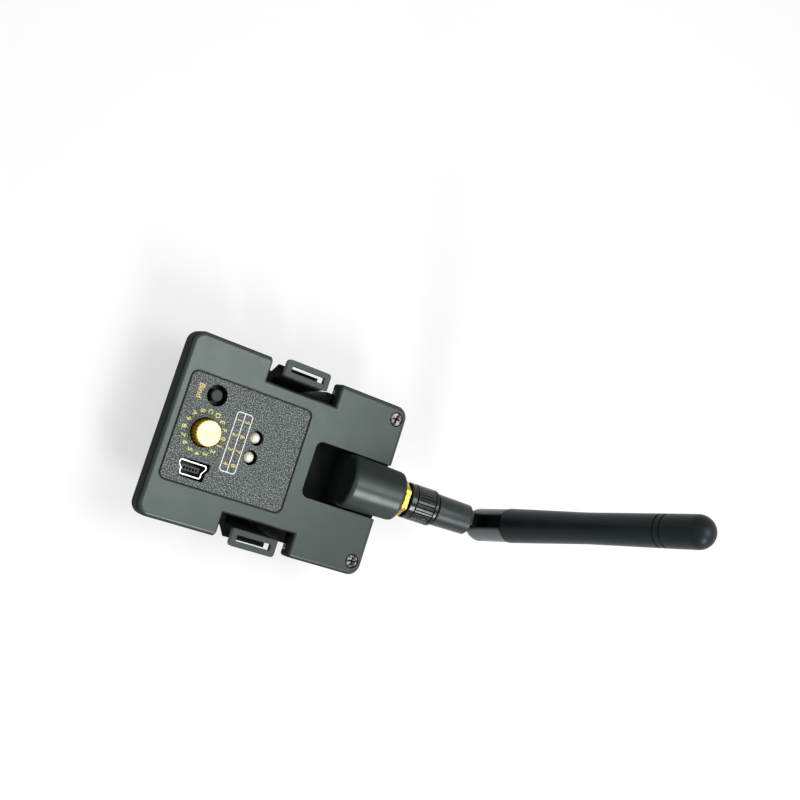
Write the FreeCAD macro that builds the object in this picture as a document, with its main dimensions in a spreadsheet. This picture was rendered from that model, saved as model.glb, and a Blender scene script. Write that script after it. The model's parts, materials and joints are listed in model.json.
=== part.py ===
"""Plug-in radio transmitter module with a folding whip antenna, in millimetres.

The origin is the centre of the back face. +X runs towards the antenna, +Z out of the cover face.
"""
import FreeCAD, Part

import math
import os
from types import SimpleNamespace

import Sketcher
from FreeCAD import Placement, Rotation, Vector

# Driving sizes, in millimetres and degrees. Each is written once.
SIZES = {
    # Front cover
    "cover_length": 64.0,
    "cover_width": 46.5,
    "cover_corner": 3.2,
    "cover_round": 1.2,
    "face_height": 21.2,
    "rim_height": 4.6,
    "face_thickness": 1.8,
    "rim_wall": 1.7,
    "notch_half_length": 10.35,
    "notch_depth_y": 6.15,
    "notch_bevel": 0.5,
    "inner_wall": 1.4,
    # Rear housing
    "flange_thickness": 1.6,
    "shell_clearance": 0.1,
    "tray_inset_x": 3.0,
    "tray_depth": 7.4,
    "tub_inset_x": 9.0,
    "tub_inset_y": 3.05,
    "tub_corner": 2.5,
    "channel_half_length": 8.0,
    "channel_depth_y": 2.9,
    "tub_chamfer": 0.8,
    "rib_thickness": 1.0,
    "rib_height": 3.0,
    # Board and its fixings
    "board_below_seat": 5.0,
    "board_thickness": 1.6,
    "board_clearance": 0.4,
    "post_inset_x": 5.0,
    "post_inset_y": 3.0,
    "post_radius": 2.2,
    "thread_radius": 1.0,
    "thread_clearance": 0.05,
    "board_screw_length": 6.0,
    "board_screw_head_radius": 1.8,
    "board_screw_head_height": 1.3,
    # Cover screws
    "cover_screw_inset_x": 3.2,
    "cover_screw_inset_y": 3.65,
    "cover_screw_head_radius": 1.65,
    "cover_screw_head_height": 0.9,
    "cover_screw_length": 3.2,
    "counterbore_radius": 1.95,
    "counterbore_depth": 1.0,
    "recess_length": 2.0,
    "recess_width": 0.45,
    "recess_depth": 0.5,
    # Label plate
    "label_from_end": 2.6,
    "label_y": 0.15,
    "label_length": 33.85,
    "label_width": 27.3,
    "label_corner": 1.8,
    "label_thickness": 0.25,
    "label_recess": 0.3,
    "label_gap": 0.22,
    # Selector knob and its switch
    "knob_from_end": 10.3,
    "knob_radius": 3.25,
    "knob_rise": 3.1,
    "knob_hole_radius": 3.7,
    "knob_stem_radius": 1.7,
    "knob_stem_length": 3.0,
    "knob_ridges": 24,
    "knob_ridge_depth": 0.18,
    "knob_slot_width": 0.7,
    "knob_slot_depth": 0.5,
    "switch_side": 10.0,
    "switch_height": 4.5,
    "running_clearance": 0.05,
    "moving_gap": 0.3,
    # Bind button
    "button_from_end": 10.45,
    "button_y": 9.45,
    "button_radius": 1.5,
    "button_hole_radius": 2.7,
    "button_below_face": 0.2,
    "button_collar_radius": 2.1,
    "button_collar_height": 0.8,
    "button_switch_side": 6.0,
    "button_switch_height": 3.6,
    "button_wall": 0.8,
    # Status lights
    "light_from_end": 23.94,
    "light_y": 0.2,
    "light_spacing": 5.0,
    "light_radius": 1.5,
    "light_hole_radius": 1.9,
    "light_flange_radius": 1.8,
    "light_flange_height": 1.0,
    "light_height": 5.0,
    "light_below_face": 0.4,
    "lead_width": 0.5,
    "lead_pitch": 2.54,
    # Data socket
    "socket_from_end": 10.5,
    "socket_y": -9.4,
    "socket_width": 7.3,
    "socket_depth": 3.65,
    "socket_narrow_width": 5.8,
    "socket_step_high": 1.1,
    "socket_step_low": 2.15,
    "socket_wall": 0.3,
    "socket_corner": 0.6,
    "socket_below_face": 0.9,
    "socket_hole_gap": 0.5,
    "socket_base_height": 1.8,
    "tongue_width": 4.8,
    "tongue_thickness": 1.4,
    "tongue_drop": 1.0,
    "blade_pitch": 0.8,
    "blade_width": 0.3,
    "blade_depth": 0.6,
    "blade_slot_gap": 0.1,
    "blade_slot_depth": 1.6,
    # Bay socket on the back
    "bay_from_end": 17.5,
    "bay_pitch": 2.54,
    "bay_ways": 5,
    "bay_strip_width": 2.5,
    "bay_strip_gap": 2.8,
    "bay_recess": 0.3,
    "bay_gap": 0.15,
    "bay_hole_side": 0.9,
    "bay_hole_depth": 4.5,
    "bay_pin_side": 0.5,
    "bay_pin_standout": 0.7,
    # Chips
    "controller_side": 7.0,
    "controller_height": 1.4,
    "controller_y": 6.5,
    "radio_chip_side": 4.0,
    "radio_chip_height": 0.9,
    "crystal_length": 3.2,
    "crystal_width": 2.5,
    "crystal_height": 0.8,
    "inductor_side": 4.2,
    "inductor_height": 2.2,
    "regulator_length": 6.5,
    "regulator_width": 3.5,
    "regulator_height": 1.6,
    # Antenna well and boss in the cover
    "well_left_inset": 23.6,
    "saddle_length": 6.2,
    "well_half_width": 7.46,
    "well_depth": 8.0,
    "well_corner": 2.0,
    "saddle_depth": 2.2,
    "boss_overhang": 1.8,
    "boss_rise": 3.55,
    "boss_tilt": 8.0,
    "boss_end_radius": 6.6,
    "boss_length": 15.5,
    "boss_draft": 1.6,
    "boss_end_round": 1.1,
    "boss_end_wall": 2.4,
    "boss_foot_half_width": 6.7,
    "boss_bore_radius": 4.8,
    "cable_passage": 1.9,
    # Antenna connector
    "barrel_radius": 3.1,
    "barrel_reach": 8.3,
    "barrel_hole_gap": 0.1,
    "connector_flange_length": 2.0,
    "connector_hex": 8.0,
    "connector_tail_radius": 2.2,
    "connector_tail_length": 4.0,
    "insulator_radius": 2.05,
    "insulator_reach": 6.5,
    "contact_radius": 0.65,
    "contact_socket_depth": 2.7,
    "washer_radius": 4.7,
    "washer_thickness": 0.4,
    "hex_nut_size": 8.2,
    "hex_nut_thickness": 1.6,
    "cable_radius": 0.65,
    "cable_bend": 3.8,
    "cable_gap": 0.15,
    "plug_drop": 0.6,
    "plug_inset": 3.6,
    "plug_radius": 1.4,
    "plug_height": 2.0,
    # Antenna base
    "coupling_radius": 4.85,
    "coupling_start": 2.3,
    "coupling_length": 8.2,
    "coupling_collar": 1.7,
    "coupling_tail": 0.7,
    "coupling_groove": 0.35,
    "coupling_neck_wall": 0.9,
    "coupling_ridges": 32,
    "coupling_ridge_depth": 0.35,
    "ferrule_radius": 2.5,
    "ferrule_flange_radius": 3.0,
    "ferrule_flange_length": 0.9,
    "ferrule_in_elbow": 3.7,
    "antenna_pin_radius": 0.45,
    "elbow_start_radius": 4.3,
    "elbow_end_radius": 4.1,
    "elbow_round": 0.6,
    "pivot_reach": 26.7,
    "tongue_half_thickness": 1.6,
    "tongue_radius": 3.9,
    "pin_radius": 1.0,
    "fork_clearance": 0.1,
    # Whip
    "whip_roll": 10.0,
    "whip_fold": 74.4,
    "neck_radius": 4.4,
    "neck_length": 10.7,
    "neck_slot_reach": 6.5,
    "spigot_radius": 3.3,
    "spigot_length": 8.0,
    "whip_reach": 73.2,
    "sleeve_start_radius": 4.56,
    "sleeve_tip_length": 9.7,
    "sleeve_tip_radius": 4.1,
    "sleeve_waist_radius": 3.95,
    "sleeve_edge_round": 0.4,
    "groove_first_inset": 14.3,
    "groove_second_inset": 12.5,
    "groove_width": 0.45,
    "groove_depth": 0.22,
    "radiator_radius": 1.5,
    "radiator_seat": 2.8,
    "radiator_tip_gap": 17.7,
    # Latches
    "latch_half_length": 5.8,
    "latch_thickness": 1.4,
    "latch_root_inset": 4.35,
    "latch_root_z": 2.2,
    "latch_top_inset": 2.65,
    "bead_radius": 1.0,
    "ledge_height": 2.7,
    "pad_half_length": 6.35,
    "pad_inner_inset": 3.25,
    "pad_overhang": 1.15,
    "pad_thickness": 1.4,
    "pad_corner": 0.9,
    "pad_slot_half_length": 4.85,
    "pad_slot_inner_inset": 1.9,
    "pad_slot_outer_inset": 0.3,
    "hook_tip_inset": 0.35,
    "hook_top_drop": 6.0,
    "hook_tip_height": 0.6,
    "hook_ramp_height": 4.0,
}


class Size:
    """A length or an angle: its number, and the expression over the sheet that gives it."""

    def __init__(self, value, text):
        self.value = value
        self.text = text

    def __add__(self, other):
        other = as_size(other)
        return Size(self.value + other.value, f"({self.text} + {other.text})")

    def __sub__(self, other):
        other = as_size(other)
        return Size(self.value - other.value, f"({self.text} - {other.text})")

    def __mul__(self, other):
        other = as_size(other)
        return Size(self.value * other.value, f"({self.text} * {other.text})")

    def __truediv__(self, other):
        other = as_size(other)
        return Size(self.value / other.value, f"({self.text} / {other.text})")

    def __neg__(self):
        return Size(-self.value, f"(0 - {self.text})")

    def __rsub__(self, other):
        return as_size(other) - self

    __radd__ = __add__
    __rmul__ = __mul__


def as_size(number):
    """A Size as it is, or a plain number as a Size."""
    if isinstance(number, Size):
        return number
    return Size(float(number), f"({number})")


def sine(angle):
    return Size(math.sin(math.radians(angle.value)), f"sin({angle.text})")


def cosine(angle):
    return Size(math.cos(math.radians(angle.value)), f"cos({angle.text})")


def tangent(angle):
    return Size(math.tan(math.radians(angle.value)), f"tan({angle.text})")


class Frame:
    """A place and direction: its Placement, and the expression over the sheet that gives it."""

    def __init__(self, placement, text):
        self.placement = placement
        self.text = text

    def __mul__(self, other):
        return Frame(self.placement.multiply(other.placement), f"{self.text} * {other.text}")


def frame(x=0, y=0, z=0, axis=(0, 0, 1), angle=0):
    """A Frame moved by x, y, z and turned about an axis."""
    x, y, z, angle = as_size(x), as_size(y), as_size(z), as_size(angle)
    rotation = Rotation(Vector(*axis), angle.value)
    placement = Placement(Vector(x.value, y.value, z.value), rotation)
    axis_text = "; ".join(str(part) for part in axis)
    text = (f"placement(vector({x.text}; {y.text}; {z.text}); "
            f"rotation(vector({axis_text}); {angle.text}))")
    return Frame(placement, text)


doc = FreeCAD.newDocument("transmitter_module")
sheet = doc.addObject("Spreadsheet::Sheet", "Sizes")
for row, (alias, number) in enumerate(SIZES.items(), start=1):
    sheet.set(f"A{row}", alias)
    sheet.set(f"B{row}", str(number))
    sheet.setAlias(f"B{row}", alias)
doc.recompute()
size = SimpleNamespace(**{alias: Size(number, f"Sizes.{alias}") for alias, number in SIZES.items()})

SUBPARTS = []


def bind(feature, **values):
    """Tie properties of a feature to the sheet."""
    for name, value in values.items():
        feature.setExpression(name, as_size(value).text)


def place(feature, where):
    """Tie the placement of a feature to the sheet."""
    feature.Placement = where.placement
    feature.setExpression("Placement", where.text)


def finish(feature, label, where=None):
    """Name a finished sub-part and put it on the list."""
    if where is not None:
        place(feature, where)
    feature.Label = label
    SUBPARTS.append(feature)
    return feature


# Sketches and features of a body


def new_body(name):
    return doc.addObject("PartDesign::Body", name + "_body")


def origin_feature(body, role):
    return next(part for part in body.Origin.OriginFeatures if part.Role == role)


def arc_geometry(start, end, radius):
    """The arc from start to end: counterclockwise for a positive radius, else clockwise."""
    first, last = (start, end) if radius > 0 else (end, start)
    middle = (first + last) / 2
    chord = last - first
    rise = math.sqrt(max(radius * radius - chord.Length ** 2 / 4, 0))
    left = Vector(-chord.y, chord.x, 0).normalize()
    centre = middle + left * rise
    start_angle = math.atan2(first.y - centre.y, first.x - centre.x)
    end_angle = math.atan2(last.y - centre.y, last.x - centre.x)
    circle = Part.Circle(centre, Vector(0, 0, 1), abs(radius))
    return Part.ArcOfCircle(circle, start_angle, end_angle)


def pin_point(sketch, geometry, point, x, y):
    """Hold a point of a sketch at x, y by two distances from the sketch's origin."""
    for kind, value in (("DistanceX", x), ("DistanceY", y)):
        index = sketch.addConstraint(Sketcher.Constraint(kind, -1, 1, geometry, point, value.value))
        sketch.setExpression(f"Constraints[{index}]", value.text)


def set_radius(sketch, geometry, radius):
    index = sketch.addConstraint(Sketcher.Constraint("Radius", geometry, abs(radius.value)))
    text = radius.text if radius.value > 0 else f"(0 - {radius.text})"
    sketch.setExpression(f"Constraints[{index}]", text)


def draw_circle(sketch, x, y, radius):
    circle = Part.Circle(Vector(x.value, y.value, 0), Vector(0, 0, 1), radius.value)
    geometry = sketch.addGeometry(circle, False)
    pin_point(sketch, geometry, 3, x, y)
    set_radius(sketch, geometry, radius)


def draw_loop(sketch, corners):
    """A closed loop. A corner is (x, y), or (x, y, radius) where an arc arrives at it."""
    corners = [tuple(as_size(part) for part in corner) for corner in corners]
    points = [Vector(corner[0].value, corner[1].value, 0) for corner in corners]
    first = sketch.GeometryCount
    ends = []
    for index, corner in enumerate(corners):
        start, end = points[index - 1], points[index]
        if len(corner) == 2:
            geometry = sketch.addGeometry(Part.LineSegment(start, end), False)
            ends.append((1, 2))
        else:
            geometry = sketch.addGeometry(arc_geometry(start, end, corner[2].value), False)
            ends.append((1, 2) if corner[2].value > 0 else (2, 1))
    for index, corner in enumerate(corners):
        following = (index + 1) % len(corners)
        geometry = first + index
        sketch.addConstraint(Sketcher.Constraint(
            "Coincident", geometry, ends[index][1], first + following, ends[following][0]))
        pin_point(sketch, geometry, ends[index][1], corner[0], corner[1])
        if len(corner) == 3:
            set_radius(sketch, geometry, corner[2])


def draw(body, name, role, loops, x=0, y=0, z=0):
    """A sketch on an origin plane of the body. A loop of one (x, y, radius) is a circle."""
    sketch = body.newObject("Sketcher::SketchObject", name)
    sketch.AttachmentSupport = [(origin_feature(body, role), "")]
    sketch.MapMode = "FlatFace"
    x, y, z = as_size(x), as_size(y), as_size(z)
    sketch.AttachmentOffset = Placement(Vector(x.value, y.value, z.value), Rotation())
    for part, value in (("x", x), ("y", y), ("z", z)):
        sketch.setExpression(f"AttachmentOffset.Base.{part}", value.text)
    for loop in loops:
        if len(loop) == 1:
            draw_circle(sketch, *[as_size(part) for part in loop[0]])
        else:
            draw_loop(sketch, loop)
    return sketch


def rounded_rectangle(length, width, corner, x=0, y=0):
    """The corners of a rounded rectangle about x, y, for a sketch loop."""
    left, right = as_size(x) - length / 2, as_size(x) + length / 2
    low, high = as_size(y) - width / 2, as_size(y) + width / 2
    return [
        (left + corner, low), (right - corner, low), (right, low + corner, corner),
        (right, high - corner), (right - corner, high, corner), (left + corner, high),
        (left, high - corner, corner), (left, low + corner), (left + corner, low, corner),
    ][1:]


def eased_corner(radius, steps=3):
    """Points on a quarter round, as reach along the side and inset from it, for short flats."""
    turns = [as_size(90 / steps * index) for index in range(steps + 1)]
    return [(radius * sine(turn), radius - radius * cosine(turn)) for turn in turns]


def check_volume(body, before, cut):
    """Stop if a feature has missed the solid."""
    doc.recompute()
    change = body.Shape.Volume - before
    if (change >= 0) if cut else (change <= 0):
        raise RuntimeError(f"{body.Tip.Name} changed the volume by {change}")


def volume(body):
    doc.recompute()
    return body.Shape.Volume if body.Tip else 0.0


def pad(body, name, profile, length, middle=False):
    before = volume(body)
    feature = body.newObject("PartDesign::Pad", name)
    feature.Profile = profile
    feature.Midplane = middle
    bind(feature, Length=length)
    check_volume(body, before, cut=False)
    return feature


def pocket(body, name, profile, length, middle=False, forward=False):
    """A pocket against the sketch's normal, or along it."""
    before = volume(body)
    feature = body.newObject("PartDesign::Pocket", name)
    feature.Profile = profile
    feature.Midplane = middle
    feature.Reversed = forward
    bind(feature, Length=length)
    check_volume(body, before, cut=True)
    return feature


def revolve(body, name, profile, axis, groove=False):
    before = volume(body)
    kind = "PartDesign::Groove" if groove else "PartDesign::Revolution"
    feature = body.newObject(kind, name)
    feature.Profile = profile
    feature.ReferenceAxis = (origin_feature(body, axis), [""])
    feature.Angle = 360
    check_volume(body, before, cut=groove)
    return feature


def block(body, name, low, high, cut=False, where=None):
    """A box from the corner low to the corner high, added or cut away."""
    before = volume(body)
    kind = "PartDesign::SubtractiveBox" if cut else "PartDesign::AdditiveBox"
    feature = body.newObject(kind, name)
    low = [as_size(part) for part in low]
    high = [as_size(part) for part in high]
    bind(feature, Length=high[0] - low[0], Width=high[1] - low[1], Height=high[2] - low[2])
    corner = frame(*low)
    place(feature, corner if where is None else where * corner)
    check_volume(body, before, cut)
    return feature


def drum(body, name, where, radius, length, cut=False, end_radius=None):
    """A cylinder or a cone along the Z of its frame, added or cut away."""
    before = volume(body)
    shape = "Cylinder" if end_radius is None else "Cone"
    kind = ("Subtractive" if cut else "Additive") + shape
    feature = body.newObject("PartDesign::" + kind, name)
    if end_radius is None:
        bind(feature, Radius=radius, Height=length)
    else:
        bind(feature, Radius1=radius, Radius2=end_radius, Height=length)
    place(feature, where)
    check_volume(body, before, cut)
    return feature


def ball(body, name, where, radius):
    before = volume(body)
    feature = body.newObject("PartDesign::AdditiveSphere", name)
    bind(feature, Radius=radius)
    place(feature, where)
    check_volume(body, before, cut=False)
    return feature


def dress_edges(body, kind, name, wanted, amount):
    """A fillet or a chamfer on the edges of the body that the test picks."""
    doc.recompute()
    base = body.Tip
    names = [f"Edge{index}" for index, edge in enumerate(base.Shape.Edges, start=1) if wanted(edge)]
    if not names:
        raise RuntimeError(f"{name} found no edge")
    feature = body.newObject("PartDesign::" + kind, name)
    feature.Base = (base, names)
    if kind == "Fillet":
        bind(feature, Radius=amount)
    else:
        bind(feature, Size=amount)
    doc.recompute()
    return feature


def pattern_round(body, feature, axis, count):
    """Repeat a feature all the way round an origin axis."""
    pattern = body.newObject("PartDesign::PolarPattern", feature.Name + "_round")
    pattern.Originals = [feature]
    pattern.Axis = (origin_feature(body, axis), [""])
    pattern.Angle = 360
    bind(pattern, Occurrences=count)
    body.Tip = pattern
    doc.recompute()
    return pattern


def mirror(body, features, role):
    """Repeat features on the other side of an origin plane."""
    feature = body.newObject("PartDesign::Mirrored", features[-1].Name + "_mirror")
    feature.Originals = features
    feature.MirrorPlane = (origin_feature(body, role), [""])
    body.Tip = feature
    doc.recompute()
    return feature


def level(edge, height):
    """Whether an edge lies flat at a height."""
    box = edge.BoundBox
    return abs(box.ZMin - height.value) < 1e-4 and abs(box.ZMax - height.value) < 1e-4


def upright(edge):
    """Whether an edge is parallel to Z."""
    box = edge.BoundBox
    return max(box.XLength, box.YLength) < 1e-4


# Loose primitives and booleans


def box_part(name, low, high, where=None):
    feature = doc.addObject("Part::Box", name)
    low = [as_size(part) for part in low]
    high = [as_size(part) for part in high]
    bind(feature, Length=high[0] - low[0], Width=high[1] - low[1], Height=high[2] - low[2])
    corner = frame(*low)
    place(feature, corner if where is None else where * corner)
    return feature


def cylinder_part(name, where, radius, length):
    feature = doc.addObject("Part::Cylinder", name)
    bind(feature, Radius=radius, Height=length)
    place(feature, where)
    return feature


def hexagon_part(name, where, across_flats, length):
    """A hexagon turned so that two of its flats face along its frame's X."""
    feature = doc.addObject("Part::Prism", name)
    feature.Polygon = 6
    bind(feature, Circumradius=across_flats / 2 / cosine(as_size(30)), Height=length)
    place(feature, where * frame(axis=(0, 0, 1), angle=30))
    return feature


def fuse(name, parts):
    feature = doc.addObject("Part::MultiFuse", name)
    feature.Shapes = parts
    return feature


def cut(name, base, tool):
    feature = doc.addObject("Part::Cut", name)
    feature.Base = base
    feature.Tool = tool
    return feature


def group(name, parts):
    """Separate solids kept together as one sub-part."""
    feature = doc.addObject("Part::Compound", name)
    feature.Links = parts
    return feature


def chip_group(label, places, length, width, height):
    """Like chips on the board, centred at the given places."""
    parts = []
    for index, (x, y) in enumerate(places):
        low = (x - length / 2, y - width / 2, board_top)
        high = (x + length / 2, y + width / 2, board_top + height)
        parts.append(box_part(f"{label}_{index}", low, high))
    return finish(group(label + "_group", parts), label)


# Heights that several sub-parts share
seat_height = size.face_height - size.rim_height
plate_under = size.face_height - size.face_thickness
flange_top = seat_height + size.flange_thickness
tray_under = seat_height - size.tray_depth
tray_floor = tray_under + size.inner_wall
board_height = seat_height - size.board_below_seat
board_top = board_height + size.board_thickness
well_floor = size.face_height - size.well_depth
well_under = well_floor - size.inner_wall
cover_gap_top = flange_top + size.shell_clearance
bay_strip_height = board_height - size.bay_strip_gap - size.bay_recess

# Lengths of the case, and where its walls stand
cover_end_x = size.cover_length / 2
cover_edge_y = size.cover_width / 2
tray_length = size.cover_length - size.tray_inset_x * 2
tub_length = size.cover_length - size.tub_inset_x * 2
tub_width = size.cover_width - size.tub_inset_y * 2
tray_inner_x = tray_length / 2 - size.inner_wall
tub_inner_x = tub_length / 2 - size.inner_wall
tub_inner_y = tub_width / 2 - size.inner_wall
channel_floor_y = tub_width / 2 - size.channel_depth_y
notch_inner_y = cover_edge_y - size.notch_depth_y
well_left = cover_end_x - size.well_left_inset
well_right = cover_end_x - size.saddle_length
well_wall_y = size.well_half_width + size.inner_wall
well_wall_left = well_left - size.inner_wall
well_wall_right = well_right + size.inner_wall

# Places of the controls from the cover's left end, and of the screws from its edges
knob_x = size.knob_from_end - cover_end_x
button_x = size.button_from_end - cover_end_x
light_x = size.light_from_end - cover_end_x
socket_x = size.socket_from_end - cover_end_x
bay_x = size.bay_from_end - cover_end_x
label_x = size.label_from_end + size.label_length / 2 - cover_end_x
cover_screw_x = cover_end_x - size.cover_screw_inset_x
cover_screw_y = cover_edge_y - size.cover_screw_inset_y
post_x = tub_inner_x - size.post_inset_x
post_y = tub_inner_y - size.post_inset_y

# The latches' outline, from the cover's long edge
latch_root_y = cover_edge_y - size.latch_root_inset
latch_top_y = cover_edge_y - size.latch_top_inset
pad_inner_y = cover_edge_y - size.pad_inner_inset
pad_outer_y = cover_edge_y + size.pad_overhang
pad_slot_inner_y = cover_edge_y - size.pad_slot_inner_inset
pad_slot_outer_y = cover_edge_y - size.pad_slot_outer_inset
hook_tip_y = cover_edge_y - size.hook_tip_inset

# The boss's two ends, and the route of the antenna's lead through its foot to the board
boss_end_x = cover_end_x + size.boss_overhang
boss_left = boss_end_x - size.boss_length * cosine(size.boss_tilt)
boss_left_z = size.face_height + size.boss_rise - size.boss_length * sine(size.boss_tilt)
cable_drop_x = tub_inner_x - size.cable_gap - size.cable_radius
cable_run_z = board_height - size.plug_height - size.cable_bend - size.plug_drop
cable_end_x = well_wall_left - size.board_clearance - size.plug_inset

# Reaches along the antenna and along the whip
coupling_end = size.coupling_start + size.coupling_length
elbow_start = coupling_end + size.moving_gap
elbow_end = size.pivot_reach - size.neck_radius - size.moving_gap
ferrule_reach = elbow_start + size.ferrule_in_elbow
sleeve_start = size.neck_length + size.shell_clearance
sleeve_taper_end = size.whip_reach - size.sleeve_tip_length
sleeve_waist_reach = (sleeve_start + sleeve_taper_end) / 2
groove_first = size.whip_reach - size.groove_first_inset
groove_second = size.whip_reach - size.groove_second_inset
radiator_start = size.neck_length + size.radiator_seat
radiator_length = size.whip_reach - size.radiator_tip_gap - radiator_start

# The antenna axis starts at the centre of the boss's end face and runs outwards along X.
ANTENNA = frame(boss_end_x, 0, size.face_height + size.boss_rise, (0, 1, 0), -size.boss_tilt)
TURN_Z_TO_X = frame(axis=(0, 1, 0), angle=90)
TURN_Z_TO_Y = frame(axis=(1, 0, 0), angle=-90)
ELBOW = ANTENNA * frame(axis=(1, 0, 0), angle=-size.whip_roll)
PIVOT = ELBOW * frame(size.pivot_reach)
WHIP = PIVOT * frame(axis=(0, 1, 0), angle=-size.whip_fold)


def along_antenna(distance):
    """A frame on the antenna axis with its Z running outwards."""
    return ANTENNA * frame(distance) * TURN_Z_TO_X


def board_screw_places():
    return [(post_x * i, post_y * j) for i in (-1, 1) for j in (-1, 1)]


def light_places():
    return [(light_x, size.light_y + size.light_spacing / 2 * side) for side in (1, -1)]


def socket_outline(grow):
    """The data socket's outline: wide above, stepped in below, grown by a margin."""
    wide = size.socket_width / 2 + grow
    narrow = size.socket_narrow_width / 2 + grow
    top = size.socket_depth / 2 + grow
    high = size.socket_depth / 2 - size.socket_step_high
    low = size.socket_depth / 2 - size.socket_step_low
    corners = [(wide, top), (-wide, top), (-wide, high), (-narrow, low),
               (-narrow, -top), (narrow, -top), (narrow, low), (wide, high)]
    return [(socket_x + x, size.socket_y + y) for x, y in corners]


def face_openings():
    """The openings that the cover's face and the label plate share."""
    return [
        [(knob_x, 0, size.knob_hole_radius)],
        [(button_x, size.button_y, size.button_hole_radius)],
        *[[(x, y, size.light_hole_radius)] for x, y in light_places()],
        socket_outline(size.socket_hole_gap),
    ]


def build_front_cover():
    """Moulded cover: a rimmed plate with the antenna's well and boss, and two latch notches."""
    body = new_body("front_cover")
    outline = rounded_rectangle(size.cover_length, size.cover_width, size.cover_corner)
    profile = draw(body, "cover_outline", "XY_Plane", [outline], z=seat_height)
    pad(body, "cover_slab", profile, size.rim_height)
    dress_edges(body, "Fillet", "cover_edge", lambda edge: level(edge, size.face_height),
                size.cover_round)

    inner = rounded_rectangle(size.cover_length - size.rim_wall * 2,
                              size.cover_width - size.rim_wall * 2,
                              size.cover_corner - size.rim_wall)
    profile = draw(body, "cavity_outline", "XY_Plane", [inner], z=seat_height)
    pocket(body, "cavity", profile, size.rim_height - size.face_thickness, forward=True)

    # Skirt and notch for a latch, on both long sides
    skirt_x = size.notch_half_length + size.inner_wall
    skirt = block(body, "notch_skirt",
                  (-skirt_x, notch_inner_y - size.inner_wall, cover_gap_top),
                  (skirt_x, cover_edge_y - size.rim_wall / 2, plate_under))
    mirror(body, [skirt], "XZ_Plane")
    notch = block(body, "notch", (-size.notch_half_length, notch_inner_y, seat_height - 1),
                  (size.notch_half_length, size.cover_width, size.face_height + 1), cut=True)
    mirror(body, [notch], "XZ_Plane")
    bevel_notches(body)

    # Recess under the label plate, and the openings for the controls
    recess = rounded_rectangle(size.label_length + size.label_gap * 2,
                               size.label_width + size.label_gap * 2,
                               size.label_corner + size.label_gap, label_x, size.label_y)
    profile = draw(body, "label_recess_outline", "XY_Plane", [recess], z=size.face_height)
    pocket(body, "label_recess", profile, size.label_recess)
    profile = draw(body, "openings_outline", "XY_Plane", face_openings(), z=size.face_height)
    pocket(body, "openings", profile, size.face_thickness)

    # Walls of the antenna's well, then the well and the shallower saddle beside it
    block(body, "well_walls", (well_wall_left, -well_wall_y, well_under),
          (well_wall_right, well_wall_y, plate_under))
    block(body, "saddle_walls", (well_right, -well_wall_y, cover_gap_top),
          (cover_end_x - size.rim_wall, well_wall_y, plate_under))
    block(body, "saddle_foot", (tray_inner_x + size.shell_clearance, -size.well_half_width, seat_height),
          (cover_end_x - size.rim_wall, size.well_half_width, cover_gap_top))
    left, right, half = well_left, well_right, size.well_half_width
    corner = size.well_corner
    well = [(left + corner, -half), (right, -half), (right, half), (left + corner, half),
            (left, half - corner, corner), (left, corner - half), (left + corner, -half, corner)][1:]
    profile = draw(body, "well_outline", "XY_Plane", [well], z=size.face_height)
    pocket(body, "well", profile, size.well_depth)
    block(body, "saddle", (well_right - 1, -half, size.face_height - size.saddle_depth),
          (size.cover_length, half, size.face_height + 1), cut=True)

    build_boss(body)

    # Counterbores and holes for the two cover screws
    hole_radius = size.thread_radius + size.thread_clearance
    for side in (-1, 1):
        seat = frame(cover_screw_x, cover_screw_y * side,
                     size.face_height - size.counterbore_depth)
        drum(body, f"counterbore_{side + 1}", seat, size.counterbore_radius, size.face_thickness, cut=True)
        bottom = frame(cover_screw_x, cover_screw_y * side, seat_height)
        drum(body, f"screw_hole_{side + 1}", bottom, hole_radius, size.rim_height, cut=True)
    finish(body, "front_cover")


def bevel_notches(body):
    """Bevel the face edges of the notches."""
    def on_notch(edge):
        box = edge.BoundBox
        inside = max(box.XMax, -box.XMin) < size.notch_half_length.value + 0.1
        deep = max(abs(box.YMax), abs(box.YMin)) < size.cover_width.value / 2 - size.cover_round.value + 0.01
        return level(edge, size.face_height) and inside and deep
    dress_edges(body, "Chamfer", "notch_bevel", on_notch, size.notch_bevel)


def build_boss(body):
    """The tapered, tilted barrel that carries the antenna, with its foot, bore and cable passage."""
    root_radius = size.boss_end_radius + size.boss_length * tangent(size.boss_draft)
    round_off = size.boss_end_round
    drum(body, "boss_barrel", along_antenna(round_off - size.boss_length), root_radius,
         size.boss_length - round_off * 2, end_radius=size.boss_end_radius)
    steps = eased_corner(round_off)
    for index, ((reach, inset), (next_reach, next_inset)) in enumerate(zip(steps, steps[1:])):
        drum(body, f"boss_end_{index}", along_antenna(reach - round_off), size.boss_end_radius - inset,
             next_reach - reach, end_radius=size.boss_end_radius - next_inset)
        drum(body, f"boss_root_{index}", along_antenna(round_off - size.boss_length - next_reach),
             root_radius - next_inset, next_reach - reach, end_radius=root_radius - inset)
    foot = size.boss_foot_half_width
    block(body, "boss_foot", (boss_left, -foot, well_under), (well_wall_right, foot, boss_left_z))

    bore_length = size.boss_length - size.inner_wall - size.boss_end_wall
    drum(body, "boss_bore", along_antenna(size.inner_wall - size.boss_length), size.boss_bore_radius,
         bore_length, cut=True)
    drum(body, "barrel_hole", along_antenna(-size.boss_end_wall - 1),
         size.barrel_radius + size.barrel_hole_gap, size.boss_end_wall + 2, cut=True)
    half = size.cable_passage / 2
    block(body, "cable_passage", (cable_drop_x - half, -half, well_under - 1),
          (cable_drop_x + half, half, boss_left_z), cut=True)


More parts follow.
